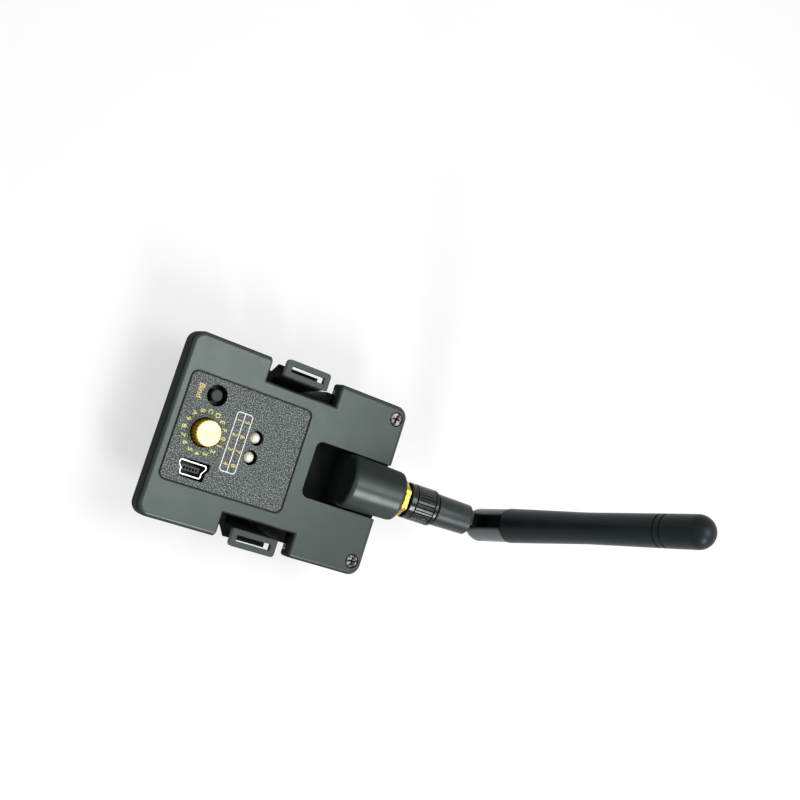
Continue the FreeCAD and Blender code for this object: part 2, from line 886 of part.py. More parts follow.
def build_label_plate():
    body = new_body("label_plate")
    outline = rounded_rectangle(size.label_length, size.label_width, size.label_corner,
                                label_x, size.label_y)
    profile = draw(body, "label_outline", "XY_Plane", [outline, *face_openings()],
                   z=size.face_height - size.label_recess)
    pad(body, "label_sheet", profile, size.label_thickness)
    finish(body, "label_plate")


def build_rear_housing():
    """Moulded housing: a narrow tub under a longer tray, a flange, latch channels and posts."""
    body = new_body("rear_housing")
    width = tub_width
    profile = draw(body, "tub_outline", "XY_Plane", [rounded_rectangle(tub_length, width, size.tub_corner)])
    pad(body, "tub", profile, seat_height)
    dress_edges(body, "Chamfer", "tub_chamfer", lambda edge: level(edge, as_size(0)), size.tub_chamfer)
    tray = rounded_rectangle(tray_length, width, size.tub_corner)
    profile = draw(body, "tray_outline", "XY_Plane", [tray], z=tray_under)
    pad(body, "tray", profile, size.tray_depth)
    rim_inset = (size.rim_wall + size.shell_clearance) * 2
    flange = rounded_rectangle(size.cover_length - rim_inset, size.cover_width - rim_inset,
                               size.cover_corner - size.rim_wall)
    profile = draw(body, "flange_outline", "XY_Plane", [flange], z=seat_height)
    pad(body, "flange", profile, size.flange_thickness)

    wall = size.inner_wall * 2
    inner_corner = size.tub_corner - size.inner_wall
    hollow = rounded_rectangle(tub_length - wall, width - wall, inner_corner)
    profile = draw(body, "tub_hollow_outline", "XY_Plane", [hollow], z=flange_top)
    pocket(body, "tub_hollow", profile, flange_top - size.inner_wall)
    hollow = rounded_rectangle(tray_length - wall, width - wall, inner_corner)
    profile = draw(body, "tray_hollow_outline", "XY_Plane", [hollow], z=flange_top)
    pocket(body, "tray_hollow", profile, flange_top - tray_floor)

    # Channel for a latch: walls, clear space above the ledge, and a snap groove for its bead
    outer_x = size.channel_half_length + size.inner_wall
    walls = block(body, "channel_walls", (-outer_x, channel_floor_y - size.inner_wall, 0),
                  (outer_x, width / 2, flange_top))
    mirror(body, [walls], "XZ_Plane")
    space = block(body, "channel", (-size.channel_half_length, channel_floor_y, size.ledge_height),
                  (size.channel_half_length, size.cover_width / 2, flange_top + 1), cut=True)
    mirror(body, [space], "XZ_Plane")
    clear = block(body, "flange_notch", (-size.notch_half_length, width / 2, seat_height - 1),
                  (size.notch_half_length, size.cover_width, flange_top + 1), cut=True)
    mirror(body, [clear], "XZ_Plane")
    groove_half = size.latch_half_length + size.moving_gap
    groove = drum(body, "bead_groove",
                  frame(-groove_half, latch_root_y, size.latch_root_z) * TURN_Z_TO_X,
                  size.bead_radius + size.running_clearance, groove_half * 2, cut=True)
    mirror(body, [groove], "XZ_Plane")

    # Gap in the flange for the foot of the cover's saddle
    gap = size.well_half_width + size.shell_clearance
    block(body, "saddle_gap", (tray_inner_x, -gap, seat_height), (size.cover_length, gap, flange_top + 1),
          cut=True)

    build_housing_fixings(body)
    finish(body, "rear_housing")


def build_housing_fixings(body):
    """Posts, ribs, screw pads, and the opening for the bay socket."""
    hole_radius = size.thread_radius + size.thread_clearance
    for index, (x, y) in enumerate(board_screw_places()):
        drum(body, f"post_{index}", frame(x, y, size.inner_wall / 2), size.post_radius,
             board_height - size.inner_wall / 2)
        drum(body, f"post_hole_{index}", frame(x, y, board_height - size.board_screw_length),
             hole_radius, size.board_screw_length + 1, cut=True)
    for index, side in enumerate((-1, 1)):
        block(body, f"floor_rib_{index}",
              (post_x * side - size.rib_thickness / 2, -post_y, size.inner_wall / 2),
              (post_x * side + size.rib_thickness / 2, post_y, size.inner_wall + size.rib_height))
    # Pads that the cover screws bite into
    edge_x = cover_end_x - size.rim_wall - size.shell_clearance
    edge_y = cover_edge_y - size.rim_wall - size.shell_clearance
    for index, side in enumerate((-1, 1)):
        near, far = cover_screw_y * side - size.post_radius, cover_screw_y * side + size.post_radius
        low_y = -edge_y if side < 0 else near
        high_y = far if side < 0 else edge_y
        block(body, f"screw_pad_{index}", (cover_screw_x - size.post_radius, low_y, flange_top),
              (edge_x - size.cover_corner / 2, high_y, plate_under - size.shell_clearance))
        bottom = size.face_height - size.counterbore_depth - size.cover_screw_length - size.shell_clearance
        drum(body, f"screw_pad_hole_{index}", frame(cover_screw_x, cover_screw_y * side, bottom),
             hole_radius, size.rim_height, cut=True)
    half_x = size.bay_strip_width / 2 + size.bay_gap
    half_y = size.bay_pitch * size.bay_ways / 2 + size.bay_gap
    block(body, "bay_opening", (bay_x - half_x, -half_y, -1),
          (bay_x + half_x, half_y, size.inner_wall + 1), cut=True)


def build_latch(label, turn):
    """A squeeze latch: a leaning arm on a bead, with an outward hook and a slotted thumb pad."""
    body = new_body(label)
    inner_y = latch_root_y - size.latch_thickness / 2
    outer_y = latch_root_y + size.latch_thickness / 2
    top_inner_y = latch_top_y - size.latch_thickness / 2
    top_outer_y = latch_top_y + size.latch_thickness / 2
    pad_under = size.face_height - size.pad_thickness
    hook_top = size.face_height - size.hook_top_drop
    hook_low = hook_top - size.hook_tip_height
    ramp_low = hook_low - size.hook_ramp_height
    lean = (top_outer_y - outer_y) / (pad_under - size.latch_root_z)
    arm = [(inner_y, size.latch_root_z), (outer_y, size.latch_root_z),
           (outer_y + lean * (ramp_low - size.latch_root_z), ramp_low),
           (hook_tip_y, hook_low), (hook_tip_y, hook_top),
           (outer_y + lean * (hook_top - size.latch_root_z), hook_top),
           (top_outer_y, pad_under), (top_inner_y, pad_under)]
    profile = draw(body, label + "_arm_outline", "YZ_Plane", [arm])
    pad(body, label + "_arm", profile, size.latch_half_length * 2, middle=True)
    bead = frame(-size.latch_half_length, latch_root_y, size.latch_root_z) * TURN_Z_TO_X
    drum(body, label + "_bead", bead, size.bead_radius, size.latch_half_length * 2)

    half, corner = size.pad_half_length, size.pad_corner
    outline = [(-half, pad_inner_y), (half, pad_inner_y), (half, pad_outer_y - corner),
               (half - corner, pad_outer_y, corner), (corner - half, pad_outer_y),
               (-half, pad_outer_y - corner, corner)]
    profile = draw(body, label + "_pad_outline", "XY_Plane", [outline], z=pad_under)
    pad(body, label + "_pad", profile, size.pad_thickness)
    block(body, label + "_slot", (-size.pad_slot_half_length, pad_slot_inner_y, pad_under - 1),
          (size.pad_slot_half_length, pad_slot_outer_y, size.face_height + 1), cut=True)
    finish(body, label, frame(angle=turn))


def build_screws(label, places, seat, head_radius, head_height, length):
    """Like screws with domed, cross-recessed heads, as one group."""
    screws = []
    half_long, half_wide = size.recess_length / 2, size.recess_width / 2
    for index, (x, y) in enumerate(places):
        name = f"{label}_{index}"
        shank = cylinder_part(name + "_shank", frame(x, y, seat - length), size.thread_radius, length)
        head = cylinder_part(name + "_head", frame(x, y, seat), head_radius, head_height)
        head_top = seat + head_height
        low = head_top - size.recess_depth
        recess = fuse(name + "_recess", [
            box_part(name + "_slot_x", (x - half_long, y - half_wide, low),
                     (x + half_long, y + half_wide, head_top + 1)),
            box_part(name + "_slot_y", (x - half_wide, y - half_long, low),
                     (x + half_wide, y + half_long, head_top + 1))])
        solid = fuse(name + "_solid", [shank, head])
        screws.append(cut(name, solid, recess))
    return finish(group(label + "_group", screws), label)


def build_knob():
    """Ridged selector knob with a pointer slot and a stem for the rotary switch."""
    body = new_body("selector_knob")
    under = board_top + size.switch_height + size.moving_gap
    top = size.face_height + size.knob_rise
    stem_low = board_top + size.switch_height - size.knob_stem_length
    radius, stem = size.knob_radius, size.knob_stem_radius
    edge = size.knob_slot_depth / 2
    outline = [(0, stem_low), (stem, stem_low), (stem, under), (radius, under),
               (radius, top - edge), (radius - edge, top), (0, top)]
    profile = draw(body, "knob_outline", "XZ_Plane", [outline])
    revolve(body, "knob_solid", profile, "Z_Axis")
    depth = size.knob_ridge_depth
    ridge = [(radius + depth, -depth * 2), (radius + depth, depth * 2), (radius - depth, 0)]
    profile = draw(body, "knob_ridge_outline", "XY_Plane", [ridge], z=top + 1)
    groove = pocket(body, "knob_ridge", profile, top - under)
    pattern_round(body, groove, "Z_Axis", size.knob_ridges)
    half = size.knob_slot_width / 2
    block(body, "knob_slot", (-size.knob_radius * 0.35, -half, top - size.knob_slot_depth),
          (size.knob_radius * 2, half, top + 1), cut=True)
    finish(body, "selector_knob", frame(knob_x))


def build_rotary_switch():
    half = size.switch_side / 2
    case = box_part("rotary_switch_case", (knob_x - half, -half, board_top),
                    (knob_x + half, half, board_top + size.switch_height))
    low = board_top + size.switch_height - size.knob_stem_length - size.running_clearance * 2
    bore = cylinder_part("rotary_switch_bore", frame(knob_x, 0, low),
                         size.knob_stem_radius + size.running_clearance, size.switch_height)
    finish(cut("rotary_switch_cut", case, bore), "rotary_switch")


def build_button():
    """The bind button and the push switch that holds it by its collar."""
    top = size.face_height - size.button_below_face
    switch_top = board_top + size.button_switch_height
    ceiling = switch_top - size.button_wall
    collar_top = ceiling - size.running_clearance
    collar_low = collar_top - size.button_collar_height
    body = new_body("bind_button")
    outline = [(0, collar_low), (size.button_collar_radius, collar_low),
               (size.button_collar_radius, collar_top), (size.button_radius, collar_top),
               (size.button_radius, top - size.button_below_face),
               (size.button_radius - size.button_below_face, top), (0, top)]
    profile = draw(body, "button_outline", "XZ_Plane", [outline])
    revolve(body, "button_solid", profile, "Z_Axis")
    finish(body, "bind_button", frame(button_x, size.button_y))

    half = size.button_switch_side / 2
    case = box_part("button_switch_case", (button_x - half, size.button_y - half, board_top),
                    (button_x + half, size.button_y + half, switch_top))
    floor = board_top + size.button_wall / 2
    chamber = cylinder_part("button_switch_chamber", frame(button_x, size.button_y, floor),
                            size.button_collar_radius + size.running_clearance * 2, ceiling - floor)
    bore = cylinder_part("button_switch_bore", frame(button_x, size.button_y, floor),
                         size.button_radius + size.running_clearance, size.button_switch_height)
    finish(cut("button_switch_cut", case, fuse("button_switch_hollow", [chamber, bore])), "button_switch")


def build_lights():
    """Two round status lights on their leads."""
    top = size.face_height - size.light_below_face
    low = top - size.light_height
    leads = []
    for index, (x, y) in enumerate(light_places()):
        label = f"status_light_{index + 1}"
        body = new_body(label)
        radius, flange = size.light_radius, size.light_flange_radius
        dome = [(radius - inset, top - radius + reach) for reach, inset in eased_corner(radius)]
        outline = [(0, low), (flange, low), (flange, low + size.light_flange_height),
                   (radius, low + size.light_flange_height), *dome]
        profile = draw(body, label + "_outline", "XZ_Plane", [outline])
        revolve(body, label + "_solid", profile, "Z_Axis")
        finish(body, label, frame(x, y))
        half = size.lead_width / 2
        for side in (-1, 1):
            centre = x + size.lead_pitch / 2 * side
            leads.append(box_part(f"{label}_lead_{side + 1}", (centre - half, y - half, board_top),
                                  (centre + half, y + half, low)))
    finish(group("status_light_leads_group", leads), "status_light_leads")


def socket_prism(name, grow, corner, top):
    """An upright prism of the data socket's outline with its corners rounded."""
    body = new_body(name)
    profile = draw(body, name + "_outline", "XY_Plane", [socket_outline(grow)], z=board_top)
    pad(body, name + "_pad", profile, top - board_top)
    dress_edges(body, "Fillet", name + "_corners", upright, corner)
    return body


def build_data_socket():
    """The upright data socket: a stepped metal shell, a slotted tongue and five contact blades."""
    top = size.face_height - size.socket_below_face
    inner_corner = size.socket_corner - size.socket_wall
    outside = socket_prism("data_socket_outside", as_size(0), size.socket_corner, top)
    inside = socket_prism("data_socket_inside", -size.socket_wall, inner_corner, top)
    finish(cut("data_socket_tube", outside, inside), "data_socket_shell")

    base_top = board_top + size.socket_base_height
    body = socket_prism("data_socket_core", -size.socket_wall, inner_corner, base_top)
    tongue_top = top - size.tongue_drop
    half_x, half_y = size.tongue_width / 2, size.tongue_thickness / 2
    block(body, "tongue", (socket_x - half_x, size.socket_y - half_y, board_top),
          (socket_x + half_x, size.socket_y + half_y, tongue_top))
    blades = []
    slot_x = size.blade_width / 2 + size.blade_slot_gap
    slot_y = size.blade_depth / 2 + size.blade_slot_gap
    for index in range(-2, 3):
        x = socket_x + size.blade_pitch * index
        block(body, f"blade_slot_{index + 2}", (x - slot_x, size.socket_y - slot_y, board_top),
              (x + slot_x, size.socket_y + slot_y, tongue_top + 1), cut=True)
        blades.append(box_part(
            f"blade_{index + 2}", (x - size.blade_width / 2, size.socket_y - size.blade_depth / 2, board_top),
            (x + size.blade_width / 2, size.socket_y + size.blade_depth / 2,
             tongue_top - size.blade_slot_depth)))
    finish(body, "data_socket_core")
    finish(group("data_socket_blades_group", blades), "data_socket_blades")


def build_board():
    """The circuit board, cut away round the latch channels and the antenna's well."""
    body = new_body("main_board")
    gap = size.board_clearance
    end_x, end_y = tray_inner_x - gap, tub_inner_y - gap
    side_x = size.channel_half_length + size.inner_wall + gap
    side_y = channel_floor_y - size.inner_wall - gap
    slot_x, slot_y = well_wall_left - gap, well_wall_y + gap
    half = [(end_x, slot_y), (end_x, end_y), (side_x, end_y), (side_x, side_y),
            (-side_x, side_y), (-side_x, end_y), (-end_x, end_y)]
    other = [(x, -y) for x, y in reversed(half)]
    outline = [(slot_x, slot_y), *half, *other, (slot_x, -slot_y)]
    holes = [[(x, y, size.thread_radius + size.thread_clearance * 3)] for x, y in board_screw_places()]
    pin_hole = size.bay_pin_side / 2 + size.running_clearance
    pins = [[(bay_x - pin_hole, y - pin_hole), (bay_x + pin_hole, y - pin_hole),
             (bay_x + pin_hole, y + pin_hole), (bay_x - pin_hole, y + pin_hole)]
            for y in bay_pin_rows()]
    profile = draw(body, "board_outline", "XY_Plane", [outline, *holes, *pins], z=board_height)
    pad(body, "board_sheet", profile, size.board_thickness)
    finish(body, "main_board")


def bay_pin_rows():
    middle = (SIZES["bay_ways"] - 1) / 2
    return [size.bay_pitch * (index - middle) for index in range(SIZES["bay_ways"])]


def build_bay_socket():
    """The socket strip at the back that the radio's bay pins enter, and its long contacts."""
    half_x = size.bay_strip_width / 2
    half_y = size.bay_pitch * size.bay_ways / 2
    low, top = size.bay_recess, size.bay_recess + bay_strip_height
    body = new_body("bay_socket")
    block(body, "bay_strip", (bay_x - half_x, -half_y, low), (bay_x + half_x, half_y, top))
    contacts = []
    hole, pin = size.bay_hole_side / 2, size.bay_pin_side / 2
    slot = pin + size.running_clearance
    middle = low + size.bay_hole_depth
    for index, y in enumerate(bay_pin_rows()):
        block(body, f"bay_hole_{index}", (bay_x - hole, y - hole, low - 1),
              (bay_x + hole, y + hole, middle), cut=True)
        block(body, f"bay_slot_{index}", (bay_x - slot, y - slot, middle),
              (bay_x + slot, y + slot, top + 1), cut=True)
        contacts.append(box_part(f"bay_contact_{index}", (bay_x - pin, y - pin, middle),
                                 (bay_x + pin, y + pin, board_top + size.bay_pin_standout)))
    finish(body, "bay_socket")
    finish(group("bay_contacts_group", contacts), "bay_contacts")


def build_chips():
    """The larger parts soldered to the board. The controller is on its underside."""
    arm_y = (well_wall_y + size.board_clearance + tub_inner_y) / 2 - size.radio_chip_height
    beside_screw = size.board_screw_head_radius + size.moving_gap
    near_x = post_x - beside_screw - size.radio_chip_side / 2
    crystal_x = post_x + beside_screw + size.crystal_length / 2
    far_x = tray_inner_x - size.board_clearance - size.moving_gap - size.radio_chip_side / 2
    chip_group("radio_chips", [(x, arm_y * side) for x in (near_x, far_x) for side in (-1, 1)],
               size.radio_chip_side, size.radio_chip_side, size.radio_chip_height)
    chip_group("crystals", [(crystal_x, (slot_edge_y() + size.crystal_width / 2) * side) for side in (-1, 1)],
               size.crystal_length, size.crystal_width, size.crystal_height)
    half = size.controller_side / 2
    finish(box_part("controller_chip_box",
                    (light_x - half, size.controller_y - half, board_height - size.controller_height),
                    (light_x + half, size.controller_y + half, board_height)), "controller_chip")
    chip_group("voltage_regulator", [(light_x, size.button_y)],
               size.regulator_length, size.regulator_width, size.regulator_height)
    chip_group("power_inductor", [(light_x, -size.button_y)],
               size.inductor_side, size.inductor_side, size.inductor_height)


def slot_edge_y():
    """The edge of the board beside the antenna's well, with room for a crystal."""
    return well_wall_y + size.board_clearance * 2


def build_connector():
    """The threaded antenna connector through the boss's end wall, and what fastens it."""
    wall = size.boss_end_wall
    flange_start = -wall - size.connector_flange_length
    tail_start = flange_start - size.connector_tail_length
    metal = fuse("rf_connector_metal", [
        cylinder_part("rf_connector_barrel", along_antenna(-wall), size.barrel_radius,
                      wall + size.barrel_reach),
        hexagon_part("rf_connector_flange", along_antenna(flange_start), size.connector_hex,
                     size.connector_flange_length),
        cylinder_part("rf_connector_tail", along_antenna(tail_start), size.connector_tail_radius,
                      size.connector_tail_length)])
    bore = fuse("rf_connector_hollow", [
        cylinder_part("rf_connector_bore", along_antenna(flange_start),
                      size.insulator_radius + size.running_clearance / 2, size.barrel_reach * 2),
        cylinder_part("rf_connector_cable_bore", along_antenna(tail_start - 1),
                      size.cable_radius + size.running_clearance, size.connector_tail_length + 2)])
    finish(cut("rf_connector_cut", metal, bore), "rf_connector")

    length = size.insulator_reach - flange_start
    solid = cylinder_part("connector_insulator_solid", along_antenna(flange_start), size.insulator_radius,
                          length)
    hole = cylinder_part("connector_insulator_hole", along_antenna(flange_start),
                         size.contact_radius + size.running_clearance / 2, length + 1)
    finish(cut("connector_insulator_cut", solid, hole), "connector_insulator")
    solid = cylinder_part("connector_contact_solid", along_antenna(flange_start), size.contact_radius, length)
    hole = cylinder_part("connector_contact_hole",
                         along_antenna(size.insulator_reach - size.contact_socket_depth),
                         size.antenna_pin_radius + size.running_clearance, size.contact_socket_depth + 1)
    finish(cut("connector_contact_cut", solid, hole), "connector_contact")

    hole_radius = size.barrel_radius + size.running_clearance
    solid = cylinder_part("lock_washer_solid", along_antenna(as_size(0)), size.washer_radius,
                          size.washer_thickness)
    hole = cylinder_part("lock_washer_hole", along_antenna(as_size(-1)), hole_radius,
                         size.washer_thickness + 2)
    finish(cut("lock_washer_cut", solid, hole), "lock_washer")
    solid = hexagon_part("hex_nut_solid", along_antenna(size.washer_thickness), size.hex_nut_size,
                         size.hex_nut_thickness)
    hole = cylinder_part("hex_nut_hole", along_antenna(as_size(-1)), hole_radius, size.hex_nut_thickness + 3)
    finish(cut("hex_nut_cut", solid, hole), "hex_nut")


def build_pigtail():
    """The coaxial lead from the connector's tail down into the tub and up to its plug on the board."""
    reach = size.boss_end_wall + size.connector_flange_length
    start = (ANTENNA * frame(-reach)).placement.Base
    bend = size.cable_bend.value
    drop_x = cable_drop_x.value
    end = Vector(cable_end_x.value, 0, (board_height - size.plug_height).value)
    direction = ANTENNA.placement.Rotation.multVec(Vector(-1, 0, 0))
    corner = start + direction * ((start.x - drop_x) / -direction.x)
    route = [start, corner, Vector(drop_x, 0, cable_run_z.value),
             Vector(end.x, 0, cable_run_z.value), end]
    path = eased_path(route, bend)
    section = Part.Wire(Part.makeCircle(size.cable_radius.value, start, direction))
    feature = doc.addObject("Part::Feature", "rf_pigtail_shape")
    feature.Shape = path.makePipeShell([section], True, False, 1)
    finish(feature, "rf_pigtail")
    plug = cylinder_part("pigtail_plug_solid", frame(cable_end_x, 0, board_height - size.plug_height),
                         size.plug_radius, size.plug_height)
    finish(plug, "pigtail_plug")


def eased_path(route, bend, steps=3):
    """Straight runs joined by short chords of a bend."""
    points = [route[0]]
    for before, corner, after in zip(route, route[1:], route[2:]):
        back = (before - corner).normalize()
        ahead = (after - corner).normalize()
        half_turn = (math.pi - back.getAngle(ahead)) / 2
        to_centre = (back + ahead).normalize()
        centre = corner + to_centre * (bend / math.cos(half_turn))
        tangent_way = (ahead - back).normalize()
        for index in range(steps + 1):
            turn = half_turn * (2 * index / steps - 1)
            inward, onward = bend * math.cos(turn), bend * math.sin(turn)
            points.append(centre - to_centre * inward + tangent_way * onward)
    points.append(route[-1])
    return Part.makePolygon(points)


def build_coupling_nut():
    """The knurled coupling nut: a collar, a ridged grip between two grooves, and a tail."""
    body = new_body("coupling_nut")
    start = size.coupling_start
    end = coupling_end
    radius = size.coupling_radius
    groove = size.coupling_groove
    grip_start = start + size.coupling_collar
    grip_end = end - size.coupling_tail
    bore = size.barrel_radius + size.running_clearance * 1.6
    rear = size.ferrule_radius + size.running_clearance * 2
    shoulder = end - size.coupling_neck_wall
    outline = [(start, bore), (shoulder, bore), (shoulder, rear), (end, rear), (end, radius),
               (grip_end, radius), (grip_end, radius - groove), (grip_end - groove, radius - groove),
               (grip_end - groove, radius), (grip_start + groove, radius),
               (grip_start + groove, radius - groove), (grip_start, radius - groove),
               (grip_start, radius), (start + groove, radius), (start, radius - groove)]
    profile = draw(body, "coupling_outline", "XZ_Plane", [outline])
    revolve(body, "coupling_solid", profile, "X_Axis")
    depth = size.coupling_ridge_depth
    ridge = [(-depth, radius + depth), (depth, radius + depth), (0, radius - depth)]
    profile = draw(body, "coupling_ridge_outline", "YZ_Plane", [ridge], z=grip_start + groove)
    cutter = pocket(body, "coupling_ridge", profile, grip_end - grip_start - groove * 2, forward=True)
    pattern_round(body, cutter, "X_Axis", size.coupling_ridges)
    finish(body, "coupling_nut", ANTENNA)


def build_antenna_base():
    """The ferrule and centre pin inside the nut, and the elbow with its hinge tongue."""
    shoulder = coupling_end - size.coupling_neck_wall
    flange_end = shoulder - size.running_clearance * 2
    flange_start = flange_end - size.ferrule_flange_length
    body = new_body("antenna_ferrule")
    hole = size.antenna_pin_radius + size.running_clearance / 2
    outline = [(flange_start, hole), (ferrule_reach, hole), (ferrule_reach, size.ferrule_radius),
               (flange_end, size.ferrule_radius), (flange_end, size.ferrule_flange_radius),
               (flange_start, size.ferrule_flange_radius)]
    profile = draw(body, "ferrule_outline", "XZ_Plane", [outline])
    revolve(body, "ferrule_solid", profile, "X_Axis")
    finish(body, "antenna_ferrule", ELBOW)
    pin_start = size.insulator_reach - size.contact_socket_depth + size.moving_gap
    pin = cylinder_part("antenna_pin_solid", ELBOW * frame(pin_start) * TURN_Z_TO_X, size.antenna_pin_radius,
                        ferrule_reach - pin_start)
    finish(pin, "antenna_pin")

    body = new_body("antenna_elbow")
    socket = size.ferrule_radius + size.running_clearance / 2
    start, end, edge = elbow_start, elbow_end, size.elbow_round
    outline = [(start, socket), (ferrule_reach, socket), (ferrule_reach, 0), (end, 0),
               (end, size.elbow_end_radius - edge), (end - edge, size.elbow_end_radius),
               (start + edge, size.elbow_start_radius), (start, size.elbow_start_radius - edge)]
    profile = draw(body, "elbow_outline", "XZ_Plane", [outline])
    revolve(body, "elbow_barrel", profile, "X_Axis")
    half = size.tongue_half_thickness
    radius = size.tongue_radius
    block(body, "hinge_tongue", (end - edge, -half, -radius), (size.pivot_reach, half, radius))
    across = frame(size.pivot_reach, -half) * TURN_Z_TO_Y
    drum(body, "hinge_tongue_round", across, radius, half * 2)
    drum(body, "hinge_hole", frame(size.pivot_reach, -half - 1) * TURN_Z_TO_Y,
         size.pin_radius + size.running_clearance, half * 2 + 2, cut=True)
    finish(body, "antenna_elbow", ELBOW)
    pin_half = size.neck_radius - size.moving_gap
    pin = cylinder_part("hinge_pin_solid", PIVOT * frame(0, -pin_half) * TURN_Z_TO_Y, size.pin_radius,
                        pin_half * 2)
    finish(pin, "hinge_pin")


def build_whip():
    """The forked neck, the waisted sleeve with its rounded tip, and the radiator inside."""
    body = new_body("whip_neck")
    neck = size.neck_radius
    end = size.neck_length + size.spigot_length
    rod_hole = size.radiator_radius + size.running_clearance / 2
    outline = [(0, 0), (radiator_start, 0), (radiator_start, rod_hole), (end, rod_hole),
               (end, size.spigot_radius), (size.neck_length, size.spigot_radius),
               (size.neck_length, neck), (0, neck)]
    profile = draw(body, "neck_outline", "XZ_Plane", [outline])
    revolve(body, "neck_barrel", profile, "X_Axis")
    ball(body, "neck_knuckle", frame(), neck)
    slot = size.tongue_half_thickness + size.fork_clearance
    block(body, "neck_slot", (-neck * 2, -slot, -neck * 2), (size.neck_slot_reach, slot, neck * 2), cut=True)
    drum(body, "neck_pin_hole", frame(0, -neck * 2) * TURN_Z_TO_Y,
         size.pin_radius + size.running_clearance / 2, neck * 4, cut=True)
    finish(body, "whip_neck", WHIP)

    body = new_body("whip_sleeve")
    start = sleeve_start
    socket = size.spigot_radius + size.running_clearance / 2
    socket_end = end + size.shell_clearance
    rod_end = radiator_start + radiator_length + size.shell_clearance
    tip = size.whip_reach
    tip_radius = size.sleeve_tip_radius
    edge = size.sleeve_edge_round
    width, depth = size.groove_width, size.groove_depth
    outline = [(start, socket), (socket_end, socket), (socket_end, rod_hole), (rod_end, rod_hole),
               (rod_end, 0), (tip, 0), (tip - tip_radius, tip_radius, tip_radius),
               (sleeve_taper_end, tip_radius), (sleeve_waist_reach, size.sleeve_waist_radius),
               (start + edge, size.sleeve_start_radius), (start, size.sleeve_start_radius - edge)]
    profile = draw(body, "sleeve_outline", "XZ_Plane", [outline])
    revolve(body, "sleeve_solid", profile, "X_Axis")
    for index, place_x in enumerate((groove_first, groove_second)):
        ring = [(place_x, tip_radius - depth), (place_x + width, tip_radius - depth),
                (place_x + width, tip_radius * 2), (place_x, tip_radius * 2)]
        profile = draw(body, f"sleeve_groove_outline_{index}", "XZ_Plane", [ring])
        revolve(body, f"sleeve_groove_{index}", profile, "X_Axis", groove=True)
    finish(body, "whip_sleeve", WHIP)
    rod = cylinder_part("whip_radiator_solid", WHIP * frame(radiator_start) * TURN_Z_TO_X,
                        size.radiator_radius, radiator_length)
    finish(rod, "whip_radiator")


build_front_cover()
build_label_plate()
build_rear_housing()
build_latch("latch_right", 0)
build_latch("latch_left", 180)
build_screws("cover_screws",
             [(cover_screw_x, cover_screw_y * side) for side in (-1, 1)],
             size.face_height - size.counterbore_depth, size.cover_screw_head_radius,
             size.cover_screw_head_height, size.cover_screw_length)
build_screws("board_screws", board_screw_places(), board_top, size.board_screw_head_radius,
             size.board_screw_head_height, size.board_screw_length)
build_knob()
build_rotary_switch()
build_button()
build_lights()
build_data_socket()
build_board()
build_bay_socket()
build_chips()
build_connector()
build_pigtail()
build_coupling_nut()
build_antenna_base()
build_whip()

doc.recompute()
for feature in doc.Objects:
    if "Invalid" in feature.State or "Error" in feature.State:
        raise RuntimeError(f"{feature.Name} failed: {feature.State}")
for feature in SUBPARTS:
    if feature.Shape.isNull() or not feature.Shape.isValid():
        raise RuntimeError(f"{feature.Label} has no valid shape")

os.makedirs("parts", exist_ok=True)
for feature in SUBPARTS:
    feature.Shape.exportStep(f"parts/{feature.Label}.step")
    print(feature.Label, len(feature.Shape.Solids), round(feature.Shape.Volume, 2))
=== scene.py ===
"""Looks of the plug-in transmitter module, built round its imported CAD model. Sizes are in millimetres."""
import json
import math

import bmesh
import bpy
from mathutils import Matrix, Vector


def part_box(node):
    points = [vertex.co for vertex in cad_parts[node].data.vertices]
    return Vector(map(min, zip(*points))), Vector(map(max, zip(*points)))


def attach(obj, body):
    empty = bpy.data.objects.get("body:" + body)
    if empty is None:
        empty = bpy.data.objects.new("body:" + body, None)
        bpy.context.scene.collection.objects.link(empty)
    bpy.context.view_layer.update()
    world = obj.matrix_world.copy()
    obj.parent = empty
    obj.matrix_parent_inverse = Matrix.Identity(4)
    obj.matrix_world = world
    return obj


MM = 0.001

# The floor: its half size and level, its tone where it is seen and where it only bounces light, how far it
# is whitened, and its roughness
FLOOR_HALF = 4000.0
FLOOR_LEVEL = -0.05
FLOOR_TONE = 0.9
FLOOR_BOUNCE = 0.35
FLOOR_WHITENING = 0.62
FLOOR_ROUGHNESS = 0.9
# Strength of the dome at the horizon and overhead
DOME = (0.1, 0.55)
WHITE = (1.0, 1.0, 1.0, 1.0)
# Lamps: name, place, the point they face, width and length, and power in watts
LAMPS = (
    ("overhead", (150, 85, 570), (0, 0, 20), (280, 280), 1.7),
    ("side", (190, -330, 440), (20, 0, 20), (110, 260), 1.7),
)

# The camera that was fitted to the photograph: its place, and its right, down and forward directions
CAMERA_PLACE = (-123.66, -10.14, 276.67)
CAMERA_RIGHT = (0.80199, 0.29907, 0.51707)
CAMERA_DOWN = (0.31591, -0.94703, 0.05778)
CAMERA_FORWARD = (0.50696, 0.11701, -0.85399)
# The nearest that it sees; its focal length and the image's width in pixels; the width of its sensor
CAMERA_NEAR = 10.0
FOCAL_PIXELS = 1120.0
IMAGE_WIDTH = 800.0
SENSOR_WIDTH = 36.0

# The black of the painted shade in slots and wells, and the slightly green or blue sheen of the dark plastics
PAINTED_SHADE_BLACK = (0.004, 0.005, 0.005)
SEA_TINT = (0.86, 1.0, 0.96, 1.0)
SLATE_TINT = (0.74, 0.96, 1.0, 1.0)
# How much roughness a place fully blackened by painted shade gains
DULLING = 0.6
# Heights between which painted shade sets in: against the label's face in the cover's well and on the boss,
# against the top below a latch's pad and in a screw's recess
WELL_HEIGHTS = (-0.55, -0.1)
BOSS_HEIGHTS = (0.2, 1.0)
PAD_HEIGHTS = (-3.0, -1.4)
RECESS_HEIGHTS = (-0.2, -0.03)
